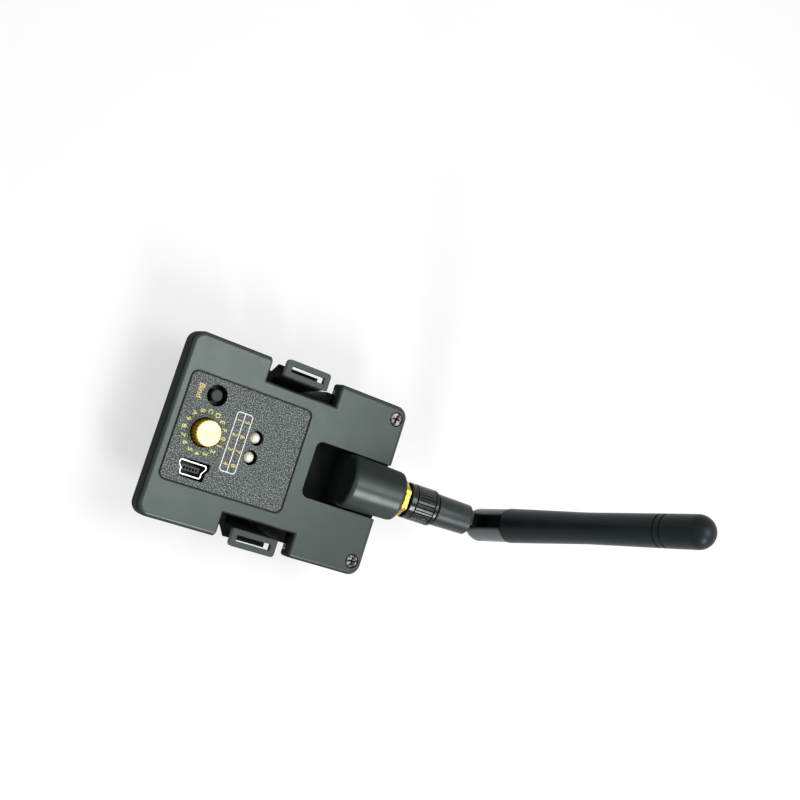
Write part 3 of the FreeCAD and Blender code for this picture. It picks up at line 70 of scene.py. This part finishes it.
# Distances between which painted shade sets in: from the middle of the fork's slot, from the pivot along
# the connector for the hinge's tongue, and from the connector's axis for the nut's grooves
SLOT_DISTANCES = (1.6, 2.6)
TONGUE_DISTANCES = (4.8, 5.0)
GROOVE_DISTANCES = (4.58, 4.78)
# The ranges of a noise that are spread over tones or roughness: its core, its body, and that of smears
CORE = (0.3, 0.7)
BODY = (0.2, 0.8)
SMEAR = (0.3, 0.8)
# Cosine between the rounded and the true direction, on flat surface and on an edge
EDGE_TURN = (0.995, 0.85)
BEVEL_SAMPLES = 6
# Places of the Mix node's sockets: two numbers in and one out, two colours in and one out
MIX_NUMBERS = (2, 3)
NUMBER_OUT = 0
MIX_COLOURS = (6, 7)
COLOUR_OUT = 2

# Ink: how far it stands out of the label and reaches into it, how far a character's outline is spread, and
# how much duller and paler its patches are
INK_RISE = 0.012
INK_SINK = 0.01
INK_SPREAD = 0.03
INK_PATCHES = (0.8, 1.15)
# The height of a capital as a share of the font's size, how characters are turned on the label, and the
# height of the dial's and rows' characters and of the button's word
CAPITAL_SHARE = 0.72
TEXT_TURN = -90.0
MARK_HEIGHT = 1.25
WORD_HEIGHT = 1.5
# How many steps round off a corner of a printed frame
CORNER_STEPS = 6
# The dial round the knob: its characters, their circle's radius, and its middle beside the knob's
DIAL_MARKS = "0123456789ABCDEF"
DIAL_RADIUS = 5.3
DIAL_SHIFT = -0.2
# The double-row frame: its middle, half sizes, corner radius and line width
ROWS_MIDDLE = (-12.93, 0.05)
ROWS_HALF = (2.25, 7.65)
ROWS_CORNER = 0.8
ROWS_LINE = 0.22
# The numbers in it: the rows' places in X, the first number's place in Y, their pitch and count
ROW_PLACES = (-14.0, -11.85)
ROW_START = 5.6
ROW_PITCH = 3.7
ROW_COUNT = 4
# The black line round the label's edge, painted as the shade of the gap round the label: its corner radius
# and line width
GAP_SHADE_CORNER = 1.8
GAP_SHADE_LINE = 0.26
# The middle of the button's word
WORD_PLACE = (-26.1, 9.3)

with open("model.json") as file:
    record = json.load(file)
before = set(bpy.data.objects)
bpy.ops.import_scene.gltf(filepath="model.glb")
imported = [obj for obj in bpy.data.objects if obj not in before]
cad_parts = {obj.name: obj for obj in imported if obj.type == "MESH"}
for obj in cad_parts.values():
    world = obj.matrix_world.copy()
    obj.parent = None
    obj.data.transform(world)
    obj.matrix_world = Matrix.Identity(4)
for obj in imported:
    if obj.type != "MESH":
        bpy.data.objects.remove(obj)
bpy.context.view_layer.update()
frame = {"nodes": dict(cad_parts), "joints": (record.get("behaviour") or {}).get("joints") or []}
nodes = frame["nodes"]
joints = {joint["name"]: joint for joint in frame["joints"]}

# The whip's pivot at rest and its direction, and the direction of the connector, whose axis meets the pivot
pivot_place = [part / MM for part in joints["whip_fold"]["pos_m"]]
pivot_axis = joints["whip_fold"]["axis"]
connector_axis = joints["antenna_swivel"]["axis"]


# Node graphs


class Graph:
    """A material's node tree, with short calls for the nodes that the materials share."""

    def __init__(self, name):
        self.material = bpy.data.materials.new(name)
        self.material.use_nodes = True
        self.tree = self.material.node_tree
        self.shader = self.tree.nodes["Principled BSDF"]
        coordinates = self.tree.nodes.new("ShaderNodeTexCoord")
        self.place = coordinates.outputs["Object"]
        self.direction = coordinates.outputs["Normal"]

    def link(self, source, target):
        self.tree.links.new(source, target)

    def feed(self, socket, value):
        """Link an output to a socket, or set the socket to a number or colour."""
        if isinstance(value, bpy.types.NodeSocket):
            self.link(value, socket)
        else:
            socket.default_value = value

    def put(self, **values):
        """Feed the shader's sockets."""
        for name, value in values.items():
            self.feed(self.shader.inputs[name.replace("_", " ")], value)

    def noise(self, per_mm, detail=3.0, roughness=0.5, stretch=None):
        node = self.tree.nodes.new("ShaderNodeTexNoise")
        node.inputs["Scale"].default_value = per_mm / MM
        node.inputs["Detail"].default_value = detail
        node.inputs["Roughness"].default_value = roughness
        self.link(self.stretched(stretch), node.inputs["Vector"])
        return node.outputs["Fac"]

    def cells(self, per_mm):
        node = self.tree.nodes.new("ShaderNodeTexVoronoi")
        node.inputs["Scale"].default_value = per_mm / MM
        self.link(self.place, node.inputs["Vector"])
        return node.outputs["Distance"]

    def stretched(self, stretch):
        if stretch is None:
            return self.place
        mapping = self.tree.nodes.new("ShaderNodeMapping")
        mapping.inputs["Scale"].default_value = stretch
        self.link(self.place, mapping.inputs["Vector"])
        return mapping.outputs["Vector"]

    def span(self, value, source, target=(0.0, 1.0)):
        """Map a value's range to another, clamped."""
        node = self.tree.nodes.new("ShaderNodeMapRange")
        ends = zip(("From Min", "From Max", "To Min", "To Max"), (*source, *target))
        for name, number in ends:
            node.inputs[name].default_value = number
        self.link(value, node.inputs["Value"])
        return node.outputs["Result"]

    def mix(self, factor, first, second):
        node = self.tree.nodes.new("ShaderNodeMix")
        node.data_type = "RGBA"
        self.feed(node.inputs["Factor"], factor)
        for place, colour in zip(MIX_COLOURS, (first, second)):
            self.feed(node.inputs[place], as_colour(colour))
        return node.outputs[COLOUR_OUT]

    def maths(self, operation, first, second=0.0):
        node = self.tree.nodes.new("ShaderNodeMath")
        node.operation = operation
        self.feed(node.inputs[0], first)
        self.feed(node.inputs[1], second)
        return node.outputs["Value"]

    def vector_maths(self, operation, first, second=None):
        node = self.tree.nodes.new("ShaderNodeVectorMath")
        node.operation = operation
        self.feed(node.inputs[0], first)
        if second is not None:
            self.feed(node.inputs[1], second)
        return node.outputs["Value" if operation in ("LENGTH", "DOT_PRODUCT") else "Vector"]

    def part_of(self, vector, axis):
        """A vector's X, Y or Z."""
        split = self.tree.nodes.new("ShaderNodeSeparateXYZ")
        self.link(vector, split.inputs["Vector"])
        return split.outputs[axis]

    def height(self, base, source, target=(0.0, 1.0)):
        """Map a height above a base, in millimetres, to a range, clamped."""
        heights = in_metres(base + part for part in source)
        return self.span(self.part_of(self.place, "Z"), heights, target)

    def facing(self, axis, source, target=(0.0, 1.0)):
        """Map how far the surface faces along X, Y or Z, from -1 to 1, to a range, clamped."""
        return self.span(self.part_of(self.direction, axis), source, target)

    def from_axis(self, point, direction, source, target=(0.0, 1.0)):
        """Map the distance from an axis, in millimetres, to a range, clamped."""
        offset = self.vector_maths("SUBTRACT", self.place, in_metres(point))
        across = self.vector_maths("CROSS_PRODUCT", offset, direction)
        return self.span(self.vector_maths("LENGTH", across), in_metres(source), target)

    def near_plane(self, point, direction, distances):
        """1 within the first distance of a plane, in millimetres, and 0 beyond the second."""
        along = self.vector_maths("DOT_PRODUCT", self.place, direction)
        offset = Vector(point).dot(Vector(direction)) * MM
        away = self.maths("ABSOLUTE", self.maths("SUBTRACT", along, offset))
        return self.span(away, in_metres(distances), (1.0, 0.0))

    def rounded(self, radius):
        """The surface's direction with its edges rounded off by a radius."""
        bevel = self.tree.nodes.new("ShaderNodeBevel")
        bevel.samples = BEVEL_SAMPLES
        bevel.inputs["Radius"].default_value = radius * MM
        return bevel.outputs["Normal"]

    def edges(self, radius):
        """About 1 where the surface turns an edge within the radius, 0 on flat surface."""
        geometry = self.tree.nodes.new("ShaderNodeNewGeometry")
        turn = self.vector_maths("DOT_PRODUCT", self.rounded(radius), geometry.outputs["Normal"])
        return self.span(turn, EDGE_TURN)

    def bumped(self, height, depth, round_edges=0.0):
        """Bump from a height, over edges rounded off by a radius."""
        bump = self.tree.nodes.new("ShaderNodeBump")
        bump.inputs["Strength"].default_value = 1.0
        bump.inputs["Distance"].default_value = depth * MM
        self.link(height, bump.inputs["Height"])
        if round_edges:
            self.link(self.rounded(round_edges), bump.inputs["Normal"])
        self.link(bump.outputs["Normal"], self.shader.inputs["Normal"])


def in_metres(values):
    return tuple(value * MM for value in values)


def as_colour(value):
    if isinstance(value, bpy.types.NodeSocket) or len(value) == 4:
        return value
    return (*value, 1.0)


def srgb(red, green, blue):
    """A colour as 0 to 255 screen values, turned into linear light."""
    def linear(part):
        part /= 255
        return part / 12.92 if part <= 0.04045 else ((part + 0.055) / 1.055) ** 2.4
    return tuple(linear(part) for part in (red, green, blue))


# Materials


def moulded_plastic(name, dark, light, wear_and_highlight, roughness=0.5, grain=4.0, depth=0.02, edge=0.15, gloss=0.5,
                    tint=WHITE, shade=None, deep=0.0):
    """Satin moulded plastic: soft tone clouds, a fine spark-eroded grain, paler edges that are worn and,
    where the edge colour is bright, a painted highlight.

    The shade makes the share, from 0 to 1, to which a place is blackened and dulled as painted shade. Deep is
    how much of the sheen goes too where that share is 1.
    """
    graph = Graph(name)
    colour = graph.mix(graph.span(graph.noise(0.06, detail=4.0), CORE), dark, light)
    wear_and_highlight_patches = graph.span(graph.noise(0.8, detail=4.0), (0.35, 0.7), (0.1, 0.6))
    # Paler edges: worn, and a painted highlight where the edge colour is bright
    colour = graph.mix(graph.maths("MULTIPLY", graph.edges(edge), wear_and_highlight_patches), colour, wear_and_highlight)
    smears = graph.noise(0.25, detail=5.0, roughness=0.6)
    rough = graph.span(smears, SMEAR, (roughness - 0.03, roughness + 0.05))
    if shade:
        share = shade(graph)
        colour = graph.mix(share, colour, PAINTED_SHADE_BLACK)
        rough = graph.maths("ADD", rough, graph.maths("MULTIPLY", share, DULLING))
        if deep:
            graph.put(Metallic=graph.maths("MULTIPLY", share, deep))
    graph.put(Base_Color=colour, Roughness=rough, Specular_IOR_Level=gloss, Specular_Tint=tint)
    graph.bumped(graph.noise(grain, detail=2.0), depth, round_edges=edge)
    return graph.material


def cover_plastic():
    """Satin cover, with painted shade down its sides, in the antenna's well and on the flanks of the boss."""
    top = label_top()

    # Painted shade: the sides and well below the label's face, and the boss's upper and lower flanks, go
    # black
    def shade(graph):
        upper_flank = graph.facing("Y", (-0.1, 0.5), (0.0, 0.7))
        lower_flank = graph.facing("Y", (-0.95, -0.6), (0.55, 0.0))
        above_face = graph.height(top, BOSS_HEIGHTS)
        below_face = graph.height(top, WELL_HEIGHTS, (0.92, 0.0))
        flanks = graph.maths("MULTIPLY", graph.maths("ADD", upper_flank, lower_flank), above_face)
        return graph.maths("MAXIMUM", below_face, flanks)

    # Its pale edge colour is partly wear and partly a painted highlight along the recess's edges
    return moulded_plastic("cover_plastic", srgb(36, 45, 43), srgb(43, 52, 50), srgb(110, 120, 116),
                           roughness=0.3, grain=3.0, depth=0.012, edge=0.2, gloss=0.45, tint=SEA_TINT,
                           shade=shade, deep=0.45)


def housing_plastic():
    """Dark rear housing, black as painted shade on the ledges that face up inside the latch notches."""
    return moulded_plastic("housing_plastic", srgb(40, 49, 48), srgb(48, 57, 55), srgb(86, 94, 91),
                           roughness=0.42, edge=0.3, tint=SEA_TINT,
                           shade=lambda graph: graph.facing("Z", (0.3, 0.8), (0.0, 0.95)), deep=0.7)


def latch_plastic():
    """Dark plastic, black as painted shade below the thumb pad."""
    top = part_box("latch_left")[1].z / MM
    return moulded_plastic("latch_plastic", srgb(36, 42, 42), srgb(46, 52, 51), srgb(94, 102, 99),
                           roughness=0.4, gloss=0.35, tint=SEA_TINT,
                           shade=lambda graph: graph.height(top, PAD_HEIGHTS, (0.9, 0.0)), deep=0.6)


def neck_plastic():
    """Greyer antenna plastic, the grey being a painted sheen, and black as painted shade along the slot
    between the fork's arms.
    """
    return moulded_plastic("neck_plastic", srgb(98, 106, 110), srgb(112, 120, 124), srgb(140, 147, 150),
                           roughness=0.32, edge=0.2, gloss=0.25, tint=SEA_TINT,
                           shade=lambda graph: graph.near_plane(pivot_place, pivot_axis, SLOT_DISTANCES),
                           deep=0.95)


def elbow_plastic():
    """Dark antenna plastic, black as painted shade on the hinge tongue inside the fork."""
    def shade(graph):
        return graph.near_plane(pivot_place, connector_axis, TONGUE_DISTANCES)

    return moulded_plastic("elbow_plastic", srgb(22, 26, 26), srgb(32, 37, 37), srgb(66, 72, 72),
                           roughness=0.32, edge=0.2, gloss=0.4, tint=SEA_TINT, shade=shade, deep=0.9)


def nut_plating():
    """Black plating, dull and deep in the grooves and between the ridges as painted shade; its pale edges
    are partly wear and partly painted highlights on the ridges.
    """
    def shade(graph):
        return graph.from_axis(pivot_place, connector_axis, GROOVE_DISTANCES, (1.0, 0.0))

    return moulded_plastic("nut_black", srgb(14, 16, 17), srgb(22, 25, 26), srgb(170, 176, 178),
                           roughness=0.12, depth=0.006, edge=0.08, gloss=0.36, tint=SEA_TINT, shade=shade,
                           deep=0.8)


def sleeve_rubber():
    """Black flexible sleeve with a soft sheen and a very fine matt grain."""
    graph = Graph("antenna_sleeve")
    clouds = graph.span(graph.noise(0.12, detail=4.0), CORE)
    smears = graph.noise(0.6, detail=5.0, roughness=0.7)
    graph.put(Base_Color=graph.mix(clouds, srgb(15, 20, 22), srgb(22, 27, 29)),
              Roughness=graph.span(smears, SMEAR, (0.34, 0.46)),
              Specular_IOR_Level=0.2, Specular_Tint=SLATE_TINT)
    graph.bumped(graph.noise(5.0, detail=2.0), 0.008, round_edges=0.1)
    return graph.material


def metal(name, colour, tarnish, roughness=0.28):
    """Plated or turned metal: fine tool marks, slight tarnish, softened edges."""
    graph = Graph(name)
    marks = graph.noise(3.0, stretch=(1.0, 1.0, 8.0))
    stain = graph.span(graph.noise(0.35, detail=5.0, roughness=0.6), (0.45, 0.75), (0.0, 0.7))
    graph.put(Base_Color=graph.mix(stain, colour, tarnish), Metallic=1.0,
              Roughness=graph.span(marks, BODY, (roughness - 0.08, roughness + 0.12)))
    graph.bumped(marks, 0.004, round_edges=0.06)
    return graph.material


def connector_gold():
    """Gold plating with uneven, darker turned marks."""
    graph = Graph("connector_gold")
    marks = graph.noise(1.1, detail=4.0, roughness=0.6, stretch=(2.0, 1.0, 1.0))
    graph.put(Base_Color=graph.mix(graph.span(marks, (0.4, 0.58)), srgb(92, 64, 18), srgb(238, 198, 82)),
              Metallic=1.0, Roughness=graph.span(marks, BODY, (0.24, 0.4)))
    graph.bumped(marks, 0.03, round_edges=0.15)
    return graph.material


def knob_brass():
    """Gold-plated brass, pale on top as a painted highlight, and deeper in the side's ridges."""
    graph = Graph("knob_brass")
    marks = graph.noise(2.0, stretch=(1.0, 1.0, 0.2))
    tone = graph.mix(graph.span(marks, CORE), srgb(244, 178, 52), srgb(255, 214, 92))
    # Painted highlight: faces that look up are mixed toward pale gold
    tone = graph.mix(graph.facing("Z", (0.5, 0.98), (0.0, 0.7)), tone, srgb(246, 226, 134))
    graph.put(Base_Color=tone, Metallic=0.72, Roughness=graph.span(marks, BODY, (0.24, 0.36)))
    graph.bumped(marks, 0.006, round_edges=0.3)
    return graph.material


def screw_steel(head_top):
    """Plated steel, stained in spots, and black as painted shade down in the cross of the recess."""
    graph = Graph("screw_steel")
    marks = graph.noise(3.0, stretch=(1.0, 6.0, 1.0))
    steel = graph.mix(graph.span(marks, CORE), srgb(98, 99, 91), srgb(150, 150, 139))
    stain = graph.span(graph.noise(0.9, detail=2.0), (0.44, 0.55), (0.0, 0.9))
    steel = graph.mix(stain, steel, srgb(34, 32, 32))
    # Painted shade: black below the head's top, down in the recess
    recess = graph.height(head_top, RECESS_HEIGHTS, (1.0, 0.0))
    graph.put(Base_Color=graph.mix(recess, steel, srgb(10, 10, 10)), Metallic=1.0,
              Roughness=graph.span(marks, BODY, (0.3, 0.5)))
    graph.bumped(marks, 0.004, round_edges=0.1)
    return graph.material


def label_film():
    """Dark silver printed film: a coarse speckle of grey grains with paler flecks."""
    graph = Graph("label_film")
    grains = graph.noise(2.7, detail=1.0, roughness=0.9)
    flecks = graph.noise(3.5, detail=1.0, roughness=0.8)
    speckle = graph.mix(graph.span(grains, (0.43, 0.57)), srgb(6, 9, 8), srgb(56, 64, 62))
    speckle = graph.mix(graph.span(flecks, (0.54, 0.63), (0.0, 0.85)), speckle, srgb(164, 176, 170))
    graph.put(Base_Color=speckle, Roughness=graph.span(grains, CORE, (0.4, 0.55)), Specular_IOR_Level=0.3)
    graph.bumped(grains, 0.01, round_edges=0.05)
    return graph.material


def ink(name, colour, gloss=0.5):
    """Silk-screen ink: slightly uneven cover and a soft sheen."""
    graph = Graph(name)
    patches = graph.noise(2.5)
    dull, pale = [tuple(min(1.0, part * share) for part in colour) for share in INK_PATCHES]
    graph.put(Base_Color=graph.mix(graph.span(patches, CORE), dull, pale), Roughness=0.45,
              Specular_IOR_Level=gloss)
    graph.bumped(patches, 0.004)
    return graph.material


def light_lens():
    """Milky epoxy lens with a faint cloudiness."""
    graph = Graph("light_lens")
    clouds = graph.noise(0.7)
    graph.put(Base_Color=graph.mix(graph.span(clouds, CORE), srgb(232, 229, 208), srgb(248, 246, 232)),
              Roughness=0.14, Coat_Weight=0.6, Coat_Roughness=0.06, Subsurface_Weight=0.3,
              Subsurface_Radius=in_metres((2.0, 1.8, 1.4)), Subsurface_Scale=0.5)
    graph.bumped(clouds, 0.006)
    return graph.material


def board_laminate():
    """Green solder mask over faint copper tracks."""
    graph = Graph("board_laminate")
    tracks = graph.span(graph.cells(0.5), (0.28, 0.32))
    graph.put(Base_Color=graph.mix(tracks, srgb(24, 92, 52), srgb(14, 66, 36)), Roughness=0.3,
              Coat_Weight=0.3)
    graph.bumped(tracks, 0.02)
    return graph.material


def dress(material, *names):
    """Give a material to CAD nodes."""
    for name in names:
        mesh = nodes[name].data
        mesh.materials.clear()
        mesh.materials.append(material)


def dress_case():
    dress(cover_plastic(), "front_cover")
    dress(housing_plastic(), "rear_housing")
    dress(latch_plastic(), "latch_left", "latch_right")
    dress(label_film(), "label_plate")
    for name in ("cover_screws", "board_screws"):
        dress(screw_steel(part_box(name)[1].z / MM), name)


def dress_controls():
    dress(knob_brass(), "selector_knob")
    dress(moulded_plastic("switch_plastic", srgb(16, 16, 17), srgb(24, 24, 25), srgb(60, 60, 62), edge=0.1),
          "rotary_switch", "button_switch")
    dress(moulded_plastic("button_plastic", srgb(30, 34, 33), srgb(38, 42, 41), srgb(96, 102, 99), edge=0.1,
                          gloss=0.35), "bind_button")
    dress(light_lens(), "status_light_1", "status_light_2")
    dress(metal("socket_metal", srgb(190, 192, 194), srgb(150, 152, 152), roughness=0.3),
          "data_socket_shell")
    # Its pale edge colour is partly wear and partly a painted highlight along the core's edges
    dress(moulded_plastic("socket_plastic", srgb(34, 35, 36), srgb(44, 45, 46), srgb(150, 152, 152),
                          edge=0.12), "data_socket_core")


def dress_board():
    dress(board_laminate(), "main_board")
    dress(moulded_plastic("chip_epoxy", srgb(24, 24, 26), srgb(34, 34, 36), srgb(80, 80, 82), edge=0.08),
          "controller_chip", "radio_chips", "voltage_regulator", "power_inductor")
    dress(metal("can_metal", srgb(200, 200, 198), srgb(150, 150, 148)), "crystals", "pigtail_plug")
    dress(metal("tinned_metal", srgb(205, 205, 203), srgb(160, 158, 150)),
          "status_light_leads", "data_socket_blades", "bay_contacts")
    dress(moulded_plastic("strip_plastic", srgb(18, 18, 19), srgb(27, 27, 28), srgb(66, 66, 68), edge=0.08),
          "bay_socket")
    dress(moulded_plastic("cable_jacket", srgb(96, 56, 32), srgb(112, 66, 38), srgb(130, 84, 52),
                          roughness=0.34), "rf_pigtail")


def dress_antenna():
    dress(connector_gold(), "rf_connector", "connector_contact", "lock_washer", "hex_nut", "antenna_ferrule",
          "antenna_pin")
    dress(moulded_plastic("insulator_plastic", srgb(222, 222, 216), srgb(236, 236, 230), srgb(240, 240, 236)),
          "connector_insulator")
    dress(nut_plating(), "coupling_nut")
    dress(metal("pin_steel", srgb(130, 132, 134), srgb(90, 92, 94)), "hinge_pin")
    dress(elbow_plastic(), "antenna_elbow")
    dress(neck_plastic(), "whip_neck")
    dress(sleeve_rubber(), "whip_sleeve")
    dress(metal("radiator_copper", srgb(196, 120, 80), srgb(150, 90, 60)), "whip_radiator")


# Printing on the label, and painted shade round its edge


def label_top():
    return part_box("label_plate")[1].z / MM


def printed(name, mesh, material):
    """Hang a printed mesh on the case, as part of the label's film."""
    mesh.materials.clear()
    mesh.materials.append(material)
    piece = bpy.data.objects.new(name, mesh)
    bpy.context.scene.collection.objects.link(piece)
    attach(piece, "case")


def flat_text(name, text, height, x, y, material):
    """Printed characters lying on the label, centred at x, y."""
    curve = bpy.data.curves.new(name, "FONT")
    curve.body = text
    curve.align_x = "CENTER"
    curve.align_y = "CENTER"
    curve.size = height / CAPITAL_SHARE * MM
    curve.offset = INK_SPREAD * MM
    curve.extrude = INK_RISE * MM
    source = bpy.data.objects.new(name + "_source", curve)
    bpy.context.scene.collection.objects.link(source)
    bpy.context.view_layer.update()
    mesh = bpy.data.meshes.new_from_object(source)
    bpy.data.objects.remove(source)
    mesh.name = name
    spot = Matrix.Translation(Vector((x, y, label_top())) * MM)
    mesh.transform(spot @ Matrix.Rotation(math.radians(TEXT_TURN), 4, "Z"))
    printed(name, mesh, material)


def rounded_loop(half_x, half_y, corner):
    """The points of a rounded rectangle round the origin."""
    points = []
    for corner_x, corner_y, start in ((half_x, half_y, 0), (-half_x, half_y, 90),
                                      (-half_x, -half_y, 180), (half_x, -half_y, 270)):
        middle_x = corner_x - math.copysign(corner, corner_x)
        middle_y = corner_y - math.copysign(corner, corner_y)
        for step in range(CORNER_STEPS + 1):
            angle = math.radians(start + 90 * step / CORNER_STEPS)
            points.append((middle_x + corner * math.cos(angle), middle_y + corner * math.sin(angle)))
    return points


def printed_frame(name, middle, half_sizes, corner, line, material, bar=True):
    """A printed rounded frame, with a line down its middle where it has a bar."""
    def placed(loop):
        return [(middle[0] + x, middle[1] + y) for x, y in loop]

    half_x, half_y = half_sizes
    low, high = label_top() - INK_SINK, label_top() + INK_RISE
    outer = rounded_loop(half_x, half_y, corner)
    inner = rounded_loop(half_x - line, half_y - line, corner - line)
    form = bmesh.new()
    ring(form, placed(outer), placed(inner), low, high)
    if bar:
        corners = [(line / 2, half_y - line), (-line / 2, half_y - line),
                   (-line / 2, line - half_y), (line / 2, line - half_y)]
        slab(form, placed(corners), low, high)
    printed(name, into_mesh(form, name), material)


def into_mesh(form, name):
    mesh = bpy.data.meshes.new(name)
    form.to_mesh(mesh)
    form.free()
    return mesh


def raised(form, loop, height):
    """A loop's vertices at a height."""
    return [form.verts.new((x * MM, y * MM, height * MM)) for x, y in loop]


def slab(form, loop, low, high):
    """A closed slab over a loop."""
    bottom, top = raised(form, loop, low), raised(form, loop, high)
    form.faces.new(top)
    form.faces.new(bottom[::-1])
    join_rows(form, bottom, top)


def ring(form, outer, inner, low, high):
    """A flat ring between two loops with as many points each."""
    rows = [raised(form, loop, height)
            for loop, height in ((outer, low), (outer, high), (inner, high), (inner, low))]
    for row, beside in zip(rows, rows[1:] + rows[:1]):
        join_rows(form, row, beside)


def join_rows(form, row, beside):
    """A band of faces between two closed rows of vertices."""
    for index in range(len(row)):
        following = (index + 1) % len(row)
        form.faces.new((row[index], row[following], beside[following], beside[index]))


def print_dial(material):
    """The selector's positions, in a circle round the knob."""
    low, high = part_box("selector_knob")
    dial_x = (low.x + high.x) / 2 / MM + DIAL_SHIFT
    for index, mark in enumerate(DIAL_MARKS):
        angle = math.radians(-360 / len(DIAL_MARKS) * index)
        flat_text(f"dial_{mark}", mark, MARK_HEIGHT, dial_x + DIAL_RADIUS * math.cos(angle),
                  DIAL_RADIUS * math.sin(angle), material)


def print_row_lines(material):
    """The double-row frame with a line down its middle."""
    printed_frame("frame_print", ROWS_MIDDLE, ROWS_HALF, ROWS_CORNER, ROWS_LINE, material)


def print_gap_shade(material):
    """The black line round the label's edge, painted shade for the gap round the label."""
    low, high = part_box("label_plate")
    middle, half = (low + high) / 2 / MM, (high - low) / 2 / MM
    printed_frame("label_gap_shade", middle.xy, half.xy, GAP_SHADE_CORNER, GAP_SHADE_LINE, material, bar=False)


def print_rows(material):
    """The plain numbers in the double-row frame."""
    for row, x in enumerate(ROW_PLACES):
        for index in range(ROW_COUNT):
            number = str(row * ROW_COUNT + index + 1)
            flat_text(f"row_{row}_{index}", number, MARK_HEIGHT, x, ROW_START - index * ROW_PITCH, material)


def print_label():
    gold = ink("gold_ink", srgb(214, 190, 96))
    print_dial(ink("dial_ink", srgb(204, 210, 98)))
    print_row_lines(ink("white_ink", srgb(232, 234, 232)))
    # Painted shade: a black line in the gap round the label's edge
    print_gap_shade(ink("gap_shade_ink", srgb(8, 9, 9), gloss=0.1))
    flat_text("button_word", "Bind", WORD_HEIGHT, *WORD_PLACE, gold)
    print_rows(gold)


# Stage, lights and camera


def seen_directly(tree):
    """1 for rays that show the background itself: camera, mirror and glass rays."""
    path = tree.nodes.new("ShaderNodeLightPath")
    total = path.outputs["Is Camera Ray"]
    for name in ("Is Glossy Ray", "Is Transmission Ray"):
        node = tree.nodes.new("ShaderNodeMath")
        node.operation = "MAXIMUM"
        tree.links.new(total, node.inputs[0])
        tree.links.new(path.outputs[name], node.inputs[1])
        total = node.outputs["Value"]
    return total


def scaled(tree, value, low, high):
    """Map 0 to 1 onto low to high."""
    node = tree.nodes.new("ShaderNodeMapRange")
    node.inputs["To Min"].default_value = low
    node.inputs["To Max"].default_value = high
    tree.links.new(value, node.inputs["Value"])
    return node.outputs["Result"]


def shader_blend(tree, factor, first, second):
    node = tree.nodes.new("ShaderNodeMixShader")
    for place, output in enumerate((factor, first, second)):
        tree.links.new(output, node.inputs[place])
    return node.outputs["Shader"]


def floor_paint():
    """White that keeps a soft shadow and is clear from below."""
    material = bpy.data.materials.new("floor")
    material.use_nodes = True
    tree = material.node_tree
    matt = tree.nodes["Principled BSDF"]
    matt.inputs["Roughness"].default_value = FLOOR_ROUGHNESS
    seen = seen_directly(tree)
    tone = tree.nodes.new("ShaderNodeMix")
    tone.data_type = "RGBA"
    tree.links.new(seen, tone.inputs["Factor"])
    for place, grey in zip(MIX_COLOURS, (FLOOR_BOUNCE, FLOOR_TONE)):
        tone.inputs[place].default_value = (grey, grey, grey, 1.0)
    tree.links.new(tone.outputs[COLOUR_OUT], matt.inputs["Base Color"])
    white = tree.nodes.new("ShaderNodeEmission")
    clear = tree.nodes.new("ShaderNodeBsdfTransparent")
    geometry = tree.nodes.new("ShaderNodeNewGeometry")
    whitening = scaled(tree, seen, 0.0, FLOOR_WHITENING)
    above = shader_blend(tree, whitening, matt.outputs["BSDF"], white.outputs["Emission"])
    both = shader_blend(tree, geometry.outputs["Backfacing"], above, clear.outputs["BSDF"])
    tree.links.new(both, tree.nodes["Material Output"].inputs["Surface"])
    return material


def build_stage():
    form = bmesh.new()
    form.faces.new([form.verts.new(in_metres((side_x * FLOOR_HALF, side_y * FLOOR_HALF, FLOOR_LEVEL)))
                    for side_x, side_y in ((-1, -1), (1, -1), (1, 1), (-1, 1))])
    mesh = into_mesh(form, "floor")
    mesh.materials.append(floor_paint())
    floor = bpy.data.objects.new("floor", mesh)
    bpy.context.scene.collection.objects.link(floor)


def build_world():
    """White where it is seen; a dome that is brighter overhead for the object's light."""
    world = bpy.data.worlds.new("studio")
    bpy.context.scene.world = world
    world.use_nodes = True
    tree = world.node_tree
    direction = tree.nodes.new("ShaderNodeTexCoord")
    split = tree.nodes.new("ShaderNodeSeparateXYZ")
    tree.links.new(direction.outputs["Generated"], split.inputs["Vector"])
    strength = tree.nodes.new("ShaderNodeMix")
    unseen, seen = MIX_NUMBERS
    tree.links.new(seen_directly(tree), strength.inputs["Factor"])
    tree.links.new(scaled(tree, split.outputs["Z"], *DOME), strength.inputs[unseen])
    strength.inputs[seen].default_value = 1.0
    background = tree.nodes["Background"]
    tree.links.new(strength.outputs[NUMBER_OUT], background.inputs["Strength"])
    background.inputs["Color"].default_value = WHITE


def build_lamps():
    for name, place, target, (width, length), power in LAMPS:
        light = bpy.data.lights.new(name, "AREA")
        light.shape = "RECTANGLE"
        light.size = width * MM
        light.size_y = length * MM
        light.energy = power
        lamp = bpy.data.objects.new(name, light)
        bpy.context.scene.collection.objects.link(lamp)
        lamp.location = Vector(place) * MM
        lamp.rotation_euler = (Vector(target) - Vector(place)).to_track_quat("-Z", "Y").to_euler()


def build_camera():
    lens = bpy.data.cameras.new("camera")
    lens.sensor_width = SENSOR_WIDTH
    lens.lens = FOCAL_PIXELS / IMAGE_WIDTH * SENSOR_WIDTH
    lens.clip_start = CAMERA_NEAR * MM
    camera = bpy.data.objects.new("camera", lens)
    bpy.context.scene.collection.objects.link(camera)
    right, down, forward = Vector(CAMERA_RIGHT), Vector(CAMERA_DOWN), Vector(CAMERA_FORWARD)
    turn = Matrix((right, -down, -forward)).transposed().to_4x4()
    camera.matrix_world = Matrix.Translation(Vector(CAMERA_PLACE) * MM) @ turn
    bpy.context.scene.camera = camera


dress_case()
dress_controls()
dress_board()
dress_antenna()
print_label()
build_stage()
build_world()
build_lamps()
build_camera()
bpy.context.scene.view_settings.view_transform = "Standard"
